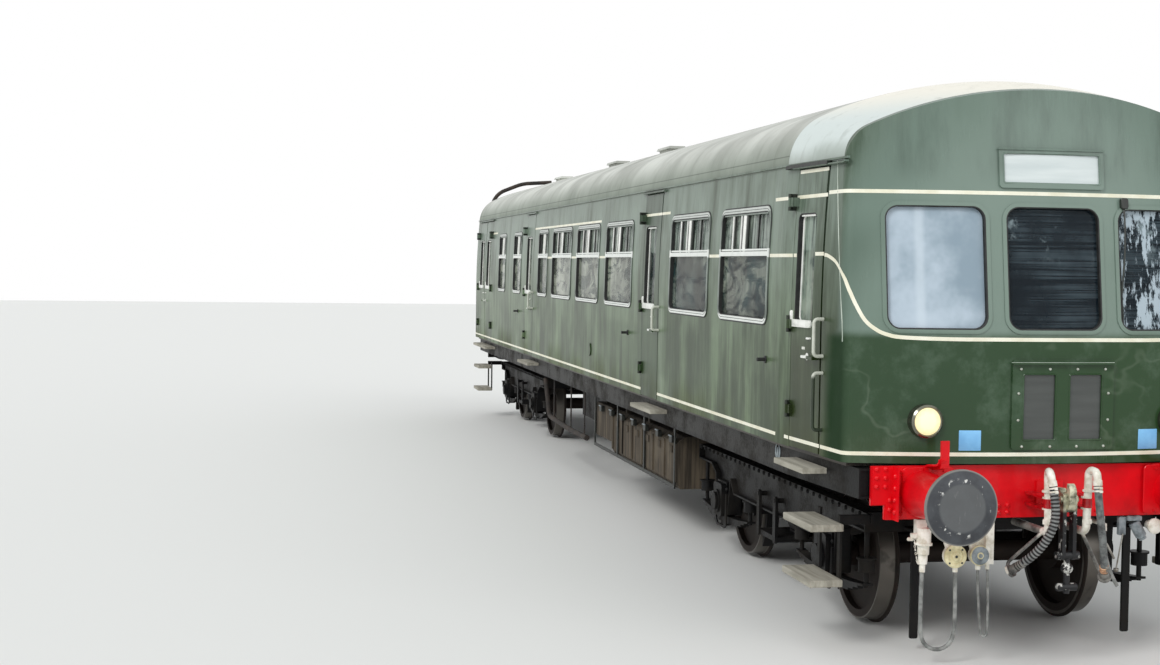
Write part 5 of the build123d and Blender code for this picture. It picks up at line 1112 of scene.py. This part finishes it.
class COACH_OT_doors(bpy.types.Operator):
    """Fit each door's drop window with recess, frame, sill and pane, its handle and latch, the frame, sills
    and handle in near white as a painted highlight on alloy, and a black strip of painted shadow under the
    cab's hood.
    """

    bl_idname = "coach.doors"
    bl_label = "Doors"

    def execute(self, context):
        frame_width = size_value("frame_width")
        middle_z, sill_z, stop_z, rail_z = 2.12 + 0.735 / 2, 2.118, 2.148, 2.842
        grip_z, latch_z, label_z = 1.902, 2.024, 1.955
        leaves = {  # X of the drop window, its width, X of the handle
            "cab": (CAB_HINGE + 0.216, 0.31, 7.9),
            "saloon": (SALOON_HINGE + 0.26, 0.4, SALOON_HINGE + 0.39),
            "rear": (REAR_HINGE + 0.26, 0.4, REAR_HINGE + 0.39),
            "luggage_rear": (LUGGAGE_X - LUGGAGE_LEAF + 0.37, 0.42, LUGGAGE_X - 0.13),
            "luggage_front": (LUGGAGE_X + LUGGAGE_LEAF - 0.37, 0.42, LUGGAGE_X + 0.13),
        }
        for place, (x, width, grip_x) in leaves.items():
            recess = rim(on_side, x, middle_z, width + 0.004, 0.739, 0.047, 0.008, -0.046, 0.002)
            frame_rim = rim(on_side, x, middle_z, width - 0.016, 0.719, 0.04, 0.012, -0.044, -0.028)
            sill_x = x - 0.022 if place == "cab" else x
            sill = raised(on_side, sill_x, sill_z, (width + 0.03, 0.05), 0.02, 5,
                          (1, -0.004), (1, 0.012), (0.97, 0.016))
            sill = sill + raised(on_side, sill_x - (width / 2 + 0.02), stop_z, (0.03, 0.11), 0.012, 4,
                                 (1, -0.004), (1, 0.01), (0.9, 0.013))
            sill = sill + raised(on_side, x, rail_z, (width - 0.05, frame_width * 0.4), 0.004, 3,
                                 (1, -0.04), (1, -0.01), (0.98, -0.007))
            pane = raised(on_side, x, middle_z, (width - 0.02, 0.715), 0.035, 6, (1, -0.042), (1, -0.036))
            grip = raised(on_side, grip_x + 0.02, grip_z, (0.085, 0.018), 0.008, 4,
                          (0.9, 0.022), (1, 0.026), (1, 0.036), (0.9, 0.04))
            grip = grip + turned([(0.024, -0.004), (0.024, 0.004), (0.012, 0.008), (0.01, 0.026)],
                                 (grip_x, float(side_at(grip_x, grip_z)), grip_z), Y, 20)
            grip = grip + raised(on_side, grip_x + 0.035, latch_z, (0.05, 0.014), 0.006, 4,
                                 (1, -0.002), (1, 0.014), (0.9, 0.018))
            # Frame, rails, sills and handle are alloy painted near white as a highlight.
            parts = [(f"droplight_recess_{place}", recess, "seal_black", "rubber_black"),
                     (f"droplight_frame_{place}", frame_rim, "alloy_highlight_white", "frame_alloy"),
                     (f"droplight_rails_{place}", sill, "alloy_highlight_white", "frame_alloy"),
                     (f"droplight_glass_{place}", pane, "window_glass", "glass"),
                     (f"door_handle_{place}", grip, "alloy_highlight_white", "frame_alloy")]
            if place == "cab":
                label = raised(on_side, grip_x - 0.068, label_z, (0.052, 0.018), 0.002, 2,
                               (1, -0.001), (1, 0.0015), (0.98, 0.002))
                parts.append(("door_label", label, "label_white", "body_green"))
            on_leaves(place, parts)
        # A black strip above the cab doors is painted shadow under the hood.
        hood = np.linspace(7.43, 8.15, 14)
        drop = 0.012 * np.clip(np.abs(hood - 7.79) - 0.3, 0, 1) * 8
        path = np.stack([hood, side_at(hood, 3.175) + 0.02, 3.18 - drop], -1)
        strip = sweep(path, [(-0.03, -0.012), (0.016, -0.012), (0.016, 0.012), (-0.03, 0.012)])
        piece("door_hood_shadow", strip.both(), "black_and_shadow")
        return {"FINISHED"}


class COACH_OT_face(bpy.types.Operator):
    """Fit the windscreen seals, wiper, coupling code squares, and the indicator box's beads and bolts.
    The bolts and a pale strip on the ledge's top edge are painted highlights.
    """

    bl_idname = "coach.face"
    bl_label = "Cab face"

    def execute(self, context):
        seals = sum(rim(on_front, y, 2.505, 0.644, 0.784, 0.087, 0.011, -0.024, 0.007)
                    for y in (-0.775, 0, 0.775))
        piece("screen_seals", seals, "seal_black")
        squares = sum(raised(on_front, y, 1.418, (0.142, 0.128), 0.003, 2,
                             (1, -0.002), (1, 0.001), (0.985, 0.0018)) for y in (-0.562, 0.67))
        piece("code_squares", squares, "square_blue")
        # Indicator windows: middle across, middle up, width and height
        boxes = ((-0.116, 1.63, 0.23, 0.428), (0.202, 1.63, 0.24, 0.428), (0, 3.1415, 0.674, 0.199))
        beads = sum(rim(on_front, *box, 0.018, 0.01, 0.005, 0.02) for box in boxes)
        for centre_y, z, half, deep in ((0.045, 1.905, 0.352, 0.03), (0, 3.262, 0.365, 0.012)):
            y = np.linspace(centre_y - half, centre_y + half, 24)
            path = np.stack([front_at(y, z) + 0.012, y, np.full(24, z)], -1)
            beads = beads + sweep(path, [(-deep, -0.004), (0.006, -0.004), (0.006, 0.004), (-deep, 0.008)])
            if centre_y:
                # A pale strip on the top edge of the ledge is a painted highlight.
                edge = sweep(path + (0.006, 0, 0.007), rounded(0.012, 0.005, 0.002, 2))
                piece("indicator_edge", edge, "pale_highlight")
        piece("indicator_beads", beads, "coach_green")
        # The bolts round the indicator windows are near white as painted highlights.
        y, z = np.array([(y, z) for y in (-0.258, 0.36) for z in (1.717, 1.548)]
                        + [(y, 1.381) for y in (-0.23, -0.04, 0.143, 0.334)]
                        + [(y, 1.872) for y in (-0.245, -0.05, 0.14, 0.335)]).T
        heads = np.stack([front_at(y, z) + 0.016, y, z], -1)
        piece("indicator_bolts", scatter(SMALL_BOLT, heads, X), "bolt_highlight")
        base = np.array([float(front_at(0.50, 2.93)) + 0.006, 0.50, 2.93])
        tip = np.array([float(front_at(0.47, 2.32)) - 0.004, 0.47, 2.32])
        mid = (base + tip) / 2 + (0.03, 0, 0)
        arm = smooth_run([base, base * 0.7 + mid * 0.3 + (0.012, 0, 0), mid, tip], 24)
        blade = np.linspace(tip + (0.006, -0.004, 0.24), tip + (-0.002, 0.004, -0.16), 10)
        blade[:, 0] = front_at(blade[:, 1], blade[:, 2]) - 0.006
        wiper = sweep(arm, rounded(0.012, 0.006, 0.002, 2), X)
        wiper = wiper + sweep(blade, rounded(0.008, 0.02, 0.003, 2), X)
        wiper = wiper + slab(base + (0.01, 0, 0), (0.05, 0.07, 0.03), 0.014, 0.004, (1, 0, 0.1), 4)
        piece("wiper", wiper, "dark_and_shadow")
        return {"FINISHED"}


class COACH_OT_beam(bpy.types.Operator):
    """Set rivets on the beam and gussets, and the buffers' base plates with their bolts and lamp irons."""

    bl_idname = "coach.beam"
    bl_label = "Buffer beam"

    def execute(self, context):
        pitch = size_value("rivet_pitch")
        rows = []
        for side in (-1, 1):
            for y, low, high, out in (
                (1.168, 1.13, 1.24, 0.01), (1.11, 1.13, 1.24, 0.01), (1.078, 0.985, 1.045, 0.01),
                (1.02, 0.985, 1.17, 0), (0.34, 0.955, 1.0, 0), (0.28, 0.955, 1.0, 0),
            ):
                z = np.linspace(low, high, max(2, round((high - low) / pitch) + 1))
                rows.append(np.stack([np.full(len(z), BEAM_X + out), np.full(len(z), side * y), z], -1))
        rivets = scatter(RIVET, np.concatenate(rows), X)
        z = np.tile(np.linspace(0.975, 1.2, 4), 2)
        web = np.stack([np.tile([BEAM_X + 0.05], 8), np.repeat([-1.059, 1.059], 4), z], -1)
        rivets = rivets + scatter(RIVET, web, np.stack([0 * z, np.sign(web[:, 1]), 0 * z], -1))
        bolts = [(BEAM_X + 0.018, side * BUFFER_Y + dy, BUFFER_Z + dz)
                 for side in (-1, 1) for dy in (-0.14, 0.14) for dz in (-0.13, 0.146)]
        base = slab((BEAM_X + 0.022, -0.828, 1.09), (0.352, 0.322, 0.014), 0.032, 0.004, X, 6)
        crank = [(8.8, -0.806, 1.315), (8.792, -0.808, 1.29), (8.77, -0.818, 1.276), (8.72, -0.832, 1.272),
                 (8.675, -0.838, 1.262), (8.662, -0.84, 1.235), (8.66, -0.84, 1.17)]
        iron = sweep(smooth_run(crank, 30), rounded(0.014, 0.05, 0.004, 3), Y)
        piece("buffer_bases", (base + iron).both(), "beam_red")
        piece("beam_rivets", rivets, "beam_red")
        piece("buffer_bolts", scatter(BOLT, bolts, X), "beam_red")
        return {"FINISHED"}


class COACH_OT_hoses(bpy.types.Operator):
    """Hang the brake hoses and the control cables at the front."""

    bl_idname = "coach.hoses"
    bl_label = "Hoses and cables"

    def execute(self, context):
        pitch, sides = size_value("rib_pitch"), 20
        line = curve_points("hose_left", HOSE_LEFT)
        run = np.concatenate([[0], np.cumsum(np.linalg.norm(np.diff(line, axis=0), axis=1))])
        at = np.linspace(0, run[-1], int(run[-1] / pitch) * 10)
        path = np.stack([np.interp(at, run, line[:, i]) for i in range(3)], -1)
        # One cosine wave to a rib: the radius follows its root, and is plain near both ends
        wave = 0.5 + 0.5 * np.cos(2 * math.pi * at / pitch)
        near_end = np.minimum(at, run[-1] - at) < 0.03
        scale = np.where(near_end, 0.86, 0.84 + 0.16 * np.sqrt(wave))
        guide = np.cross(line[-1] - line[0], line[len(line) // 2] - line[0])
        tube = sweep(path, circle(0.028, sides), guide, scale)
        left = piece("hose_left_ribbed", tube, "hose_rubber", hard=60)
        rib = left.data.attributes.new("rib", "FLOAT", "POINT")
        rib.data.foreach_set("value", np.repeat(np.where(near_end, 0.0, wave), sides))
        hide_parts("hose_left")
        for name, route, length, diameter, look in (
            ("hose_right", HOSE_RIGHT, 0.622, 0.048, "hose_grey"),
            ("cable_loop", CABLE_LOOP, 1.112, 0.026, "cable_grey"),
            ("cable_pair", CABLE_PAIR, 0.884, 0.017, "cable_grey"),
            ("thin_hose", THIN_HOSE, 0.380, 0.024, "cable_grey"),
        ):
            cord = hose_curve(name + "_tube", route, diameter, look)
            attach(cord, "root")
            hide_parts(name)
        return {"FINISHED"}


class COACH_OT_fittings(bpy.types.Operator):
    """Fit what hangs under the front, the battery boxes' latches, eyes on the solebars and seat covers."""

    bl_idname = "coach.fittings"
    bl_label = "Fittings"

    def execute(self, context):
        self.pipes()
        self.sockets()
        self.drains()
        self.underframe()
        covers = []
        for low, high in ((1.44, 4.56), (5.64, 11.47)):
            for step in range(int((high - low) / 0.775)):
                x = back(low + 0.775 * (step + 0.5) - 0.06) - 0.39
                covers.append(slab((x, 0.86, 2.3), (0.84, 0.17, 0.14), 0.03, 0.006, X, 4))
        piece("headrest_covers", sum(covers).both(), "canvas_white")
        return {"FINISHED"}

    def pipes(self):
        """Clamps on the hoses, unions and red straps on the brake pipes."""
        clamp = [(0.0245, -0.006), (0.0275, -0.005), (0.0285, 0), (0.0275, 0.005), (0.0245, 0.006)]
        nut = [(0.026, -0.016), (0.033, -0.013), (0.033, 0.013), (0.026, 0.016)]
        union = [(0.0255, -0.008), (0.036, -0.006), (0.036, 0.006), (0.0255, 0.008)]
        strap = [(0.0255, -0.03), (0.0295, -0.027), (0.0295, 0.027), (0.0255, 0.03)]
        bands, tan, straps = [], [], []
        # Clamps sit in rows a short way in from each end of a hose
        for route, lower in ((np.array(HOSE_LEFT), bands), (np.array(HOSE_RIGHT), tan)):
            for end, inner, rows, found in ((0, 1, (0.012, 0.034), bands),
                                            (-1, -2, (0.012, 0.03, 0.048), lower)):
                into = unit(route[inner] - route[end])
                for step in rows:
                    place = route[end] + into * step
                    found.append(turned(clamp, place, into))
                    bands.append(slab(place + (0.029, 0.004, 0), (0.022, 0.014, 0.012), 0.004, 0.002, X))
            side = math.copysign(1, route[0][1])
            bands += [turned(nut, (8.88, side * 0.134, 0.93), Z, 6),
                      turned(union, (8.88, side * 0.137, 1.122), Z)]
            straps.append(turned(strap, (8.88, side * 0.132, 1.045), Z))
            for z in (1.01, 1.08):
                straps.append(slab((8.741, side * 0.131, z), (0.066, 0.232, 0.018), 0.004, 0.002, Z))
        piece("hose_clamps", sum(bands), "pipe_white")
        piece("hose_tip_band", sum(tan), "clamp_tan")
        piece("pipe_straps", sum(straps), "clamp_red")

    def sockets(self):
        """Faces, pins and cover of the two jumper sockets, and the plug on its chain."""
        faces, pins = [], []
        front = 8.682
        for y, z, radius in ((-0.652, 0.69, 0.07), (-0.489, 0.692, 0.06)):
            steps = [(radius - 0.002, -0.012), (radius + 0.004, -0.008), (radius + 0.004, 0.006),
                     (radius - 0.004, 0.01), (radius * 0.72, 0.01), (radius * 0.68, 0.004),
                     (radius * 0.4, 0.004), (radius * 0.36, 0.016), (radius * 0.2, 0.018), (0, 0.018)]
            faces.append(turned(steps, (front, y, z), X, 40))
            turn = np.arange(4) * math.pi / 2 + math.pi / 4
            ring = np.stack([np.full(4, front + 0.008), y + radius * 0.84 * np.cos(turn),
                             z + radius * 0.84 * np.sin(turn)], -1)
            pins += [scatter(PIN, ring, X),
                     turned([(0.009, 0), (0.009, 0.0195), (0.004, 0.0205)], (front, y, z), X, 16)]
        cover = turned([(0.052, 0), (0.058, 0.004), (0.058, 0.012), (0.05, 0.0165), (0.03, 0.0165),
                        (0.026, 0.0125), (0.014, 0.0125), (0.012, 0.0215), (0, 0.0215)],
                       (8.684, -0.489, 0.692), X, 40)
        piece("socket_faces", sum(faces), "socket_cream")
        piece("socket_cover", cover, "socket_grey")
        piece("socket_pins", sum(pins), "dark_and_shadow")
        links = smooth_run([(8.664, -0.922, 0.80), (8.668, -0.916, 0.735), (8.67, -0.903, 0.665),
                            (8.67, -0.892, 0.648), (8.67, -0.885, 0.655)], 13)
        turn = circle(1, 14)
        link = np.stack([0.0048 * turn[:, 0], 0 * turn[:, 0], 0.0085 * turn[:, 1]], -1)
        link = sweep(link, circle(0.0017, 6), Y, loop=True)
        crossed = Shape(link.points[:, [1, 0, 2]] * (1, -1, 1), link.faces)
        along = np.gradient(links, axis=0)
        chain = scatter(link, links[::2], along[::2]) + scatter(crossed, links[1::2], along[1::2])
        chain = chain + slab((8.655, -0.916, 0.822), (0.05, 0.036, 0.03), 0.006, 0.003, Z)
        plug = [(0.012, 0), (0.012, 0.03), (0.008, 0.034)]
        chain = chain + turned(plug, (8.655, -0.93, 0.80), (0, -1, 0), 14)
        piece("plug_chain", chain, "pipe_white")

    def drains(self):
        """The drain gear beside the right buffer, with its cap, rods and knob."""
        gear = turned([(0.03, 0), (0.036, 0.004), (0.036, 0.1), (0.026, 0.108), (0.026, 0.125)],
                      (8.62, 0.606, 0.872), (0, 0.53, -0.85))
        gear = gear + slab((8.6, 0.606, 0.9), (0.1, 0.08, 0.03), 0.01, 0.003, Z)
        gear = gear + slab((8.6, 0.53, 0.85), (0.05, 0.12, 0.03), 0.006, 0.003, X)
        piece("drain_gear", gear, "socket_grey")
        cap = turned([(0.03, -0.07), (0.03, -0.01), (0.05, -0.006), (0.05, 0.012), (0.04, 0.02), (0, 0.022)],
                     (8.64, 0.741, 0.85), X, 32)
        piece("drain_cap", cap, "pipe_white")
        rods = sweep(np.linspace((8.62, 0.415, 0.74), (8.62, 0.474, 0.64), 5), circle(0.008, 10), X)
        rods = rods + sweep(np.linspace((8.62, 0.53, 0.8), (8.62, 0.49, 0.575), 5), circle(0.005, 8), X)
        rods = rods + turned([(0.006, 0), (0.016, 0.004), (0.018, 0.014), (0.012, 0.026), (0, 0.028)],
                             (8.62, 0.49, 0.58), (0, 0, -1), 16)
        piece("drain_rods", rods, "worn_steel")

    def underframe(self):
        """Latches and straps of the battery boxes with a pale painted highlight on each latch's top edge, and
        an eye on each solebar.
        """
        spots = np.arange(0.62, 3.8, 0.52)
        latches = sum(slab((x, 1.219, 0.9), (0.1, 0.06, 0.04), 0.006, 0.003, Y) for x in spots)
        latches = latches + sum(slab((x, 1.216, 0.755), (0.04, 0.6, 0.014), 0.003, 0.002, Y)
                                for x in (0.25, 1.42, 2.63, 3.83))
        latches = latches + sum(slab((2.05, 1.216, z), (3.6, 0.035, 0.012), 0.003, 0.002, Y)
                                for z in (0.47, 1.03))
        piece("battery_latches", latches.both(), "black_and_shadow")
        # A pale strip on each latch's top edge is a painted highlight.
        edges = sum(slab((x, 1.24, 0.932), (0.1, 0.012, 0.014), 0.003, 0.002, Y) for x in spots)
        piece("battery_latch_highlights", edges.both(), "socket_grey")
        eye_x = back(1.499)
        turn = circle(1, 28)
        eye = np.stack([eye_x + 0.045 * turn[:, 0], 0 * turn[:, 0] + 1.338, 1.188 + 0.055 * turn[:, 1]], -1)
        eye = sweep(eye, circle(0.007, 8), Y, loop=True)
        eye = eye + slab((eye_x, 1.338, 1.18), (0.018, 0.07, 0.012), 0.005, 0.002, Y)
        piece("sole_eye", eye.both(), "socket_grey")


class COACH_OT_bogies(bpy.types.Operator):
    """Lay step boards on both bogies, rivet their side frames and horns, and hang the guard irons."""

    bl_idname = "coach.bogies"
    bl_label = "Bogie fittings"

    def execute(self, context):
        rivet_y = 1.046
        for place, centre, end in (("front", BOGIE_X, 1), ("rear", -BOGIE_X, -1)):
            board_x, board_size = centre + end * 1.94, (0.224, 0.564, 0.046)
            boards = sum(slab((board_x, 1.37, level - 0.02), board_size, 0.006, 0.004, Z)
                         for level in (0.84, 0.48))
            x = np.arange(-1.95, 2.0, 0.13)
            rows = [np.stack([centre + x, np.full(len(x), rivet_y), np.full(len(x), 0.872)], -1)]
            rows += [[(centre + axle + dx * 1.02, rivet_y, z) for z in (0.60, 0.52, 0.44)]
                     for axle in (-HALF_WHEELBASE, HALF_WHEELBASE) for dx in (-0.15, 0.15)]
            rivets = sum(scatter(RIVET, row, Y) for row in rows)
            guard_x = centre + end * 2.184
            guard = slab((guard_x, 0.752, 0.44), (0.056, 0.72, 0.02), 0.01, 0.003, X)
            guard = guard + slab((guard_x - end * 0.05, 0.752, 0.792), (0.075, 0.12, 0.02), 0.006, 0.003, Z)
            body = f"bogie_{place}"
            piece(f"{body}_guard_irons", guard.both(), "under_black", body)
            piece(f"{body}_step_boards", boards.both(), "step_boards", body)
            piece(f"{body}_rivets", rivets.both(), "under_black", body)
        return {"FINISHED"}


class COACH_OT_stage(bpy.types.Operator):
    """Set the floor, the soft light and the camera at the photograph's angle."""

    bl_idname = "coach.stage"
    bl_label = "Stage"

    def execute(self, context):
        scene = context.scene
        half = size_value("floor_size") / 2
        mesh = bpy.data.meshes.new("floor_sheet")
        corners = [(-half, -half, 0), (half, -half, 0), (half, half, 0), (-half, half, 0)]
        mesh.from_pydata(corners, [], [(0, 1, 2, 3)])
        paper = Finish("studio_floor")
        paper.set(Base_Color=(226, 226, 222), Roughness=0.9)
        mesh.materials.append(paper.material)
        floor = bpy.data.objects.new("floor_sheet", mesh)
        scene.collection.objects.link(floor)
        # The world lights with a soft grey and shows as white to the camera, in mirrors and through glass
        world = bpy.data.worlds.new("studio")
        world.use_nodes = True
        sky = Nodes(world.node_tree)
        camera_ray, glossy_ray, clear_ray = (sky.node("ShaderNodeLightPath", output=f"Is {kind} Ray")
                                             for kind in ("Camera", "Glossy", "Transmission"))
        light = sky.node("ShaderNodeBackground", None, [(0.93, 0.96, 1, 1), 0.72])
        white = sky.node("ShaderNodeBackground", None, [(1, 1, 1, 1), 1])
        mix = sky.node("ShaderNodeMixShader", None, [(camera_ray | glossy_ray) | clear_ray, light, white])
        sky.tree.links.new(mix.socket, sky.tree.nodes["World Output"].inputs[0])
        scene.world = world
        for name, energy, size, turn in (("key", 1.5, 0.35, (52, 0, 38)), ("fill", 0.5, 0.8, (62, 0, 118))):
            lamp = bpy.data.lights.new(name, "SUN")
            lamp.energy, lamp.angle = energy, size
            holder = bpy.data.objects.new(name, lamp)
            holder.rotation_euler = [math.radians(a) for a in turn]
            scene.collection.objects.link(holder)
        # Solved from the photograph: place, angles in radians, and focal length for its width in pixels
        place = (18.13629, -4.95391, 2.49118)
        yaw, pitch, roll = 0.195789, -0.041831, 0.013384
        focal, picture_width = 1617.5, 1160
        ahead = Vector((-math.cos(yaw) * math.cos(pitch), math.sin(yaw) * math.cos(pitch), math.sin(pitch)))
        right = ahead.cross(Vector(Z)).normalized()
        up = right.cross(ahead)
        side = right * math.cos(roll) + up * math.sin(roll)
        top = up * math.cos(roll) - right * math.sin(roll)
        camera = bpy.data.objects.new("camera", bpy.data.cameras.new("camera"))
        camera.data.sensor_width = 36
        camera.data.lens = focal / picture_width * 36
        camera.data.clip_end = 500
        camera.matrix_world = Matrix.Translation(place) @ Matrix((side, top, -ahead)).transposed().to_4x4()
        scene.collection.objects.link(camera)
        scene.camera = camera
        scene.view_settings.view_transform = "Standard"
        return {"FINISHED"}


OPERATORS = [COACH_OT_stage, COACH_OT_hoses, COACH_OT_paint, COACH_OT_lining, COACH_OT_windows,
             COACH_OT_doors, COACH_OT_face, COACH_OT_beam, COACH_OT_fittings, COACH_OT_bogies]


class COACH_PT_panel(bpy.types.Panel):
    """Settings and pieces of the coach."""

    bl_label = "Coach"
    bl_idname = "COACH_PT_panel"
    bl_space_type = "VIEW_3D"
    bl_region_type = "UI"
    bl_category = "Coach"

    def draw(self, context):
        for group in (context.scene.coach_colours, context.scene.coach_sizes):
            for name in group.__annotations__:
                self.layout.prop(group, name)
        for operator in OPERATORS:
            self.layout.operator(operator.bl_idname)


CLASSES = [CoachColours, CoachSizes, *OPERATORS, COACH_PT_panel]


def register():
    """Add the classes and the scene's settings."""
    for made_class in CLASSES:
        bpy.utils.register_class(made_class)
    bpy.types.Scene.coach_colours = bpy.props.PointerProperty(type=CoachColours)
    bpy.types.Scene.coach_sizes = bpy.props.PointerProperty(type=CoachSizes)


def unregister():
    """Take them away again."""
    del bpy.types.Scene.coach_sizes
    del bpy.types.Scene.coach_colours
    for made_class in reversed(CLASSES):
        bpy.utils.unregister_class(made_class)


def main():
    """Make every piece in order."""
    register()
    for operator in OPERATORS:
        group, name = operator.bl_idname.split(".")
        result = getattr(getattr(bpy.ops, group), name)()
        if result != {"FINISHED"}:
            raise RuntimeError(f"{operator.bl_idname} did not finish")


if __name__ == "__main__":
    main()
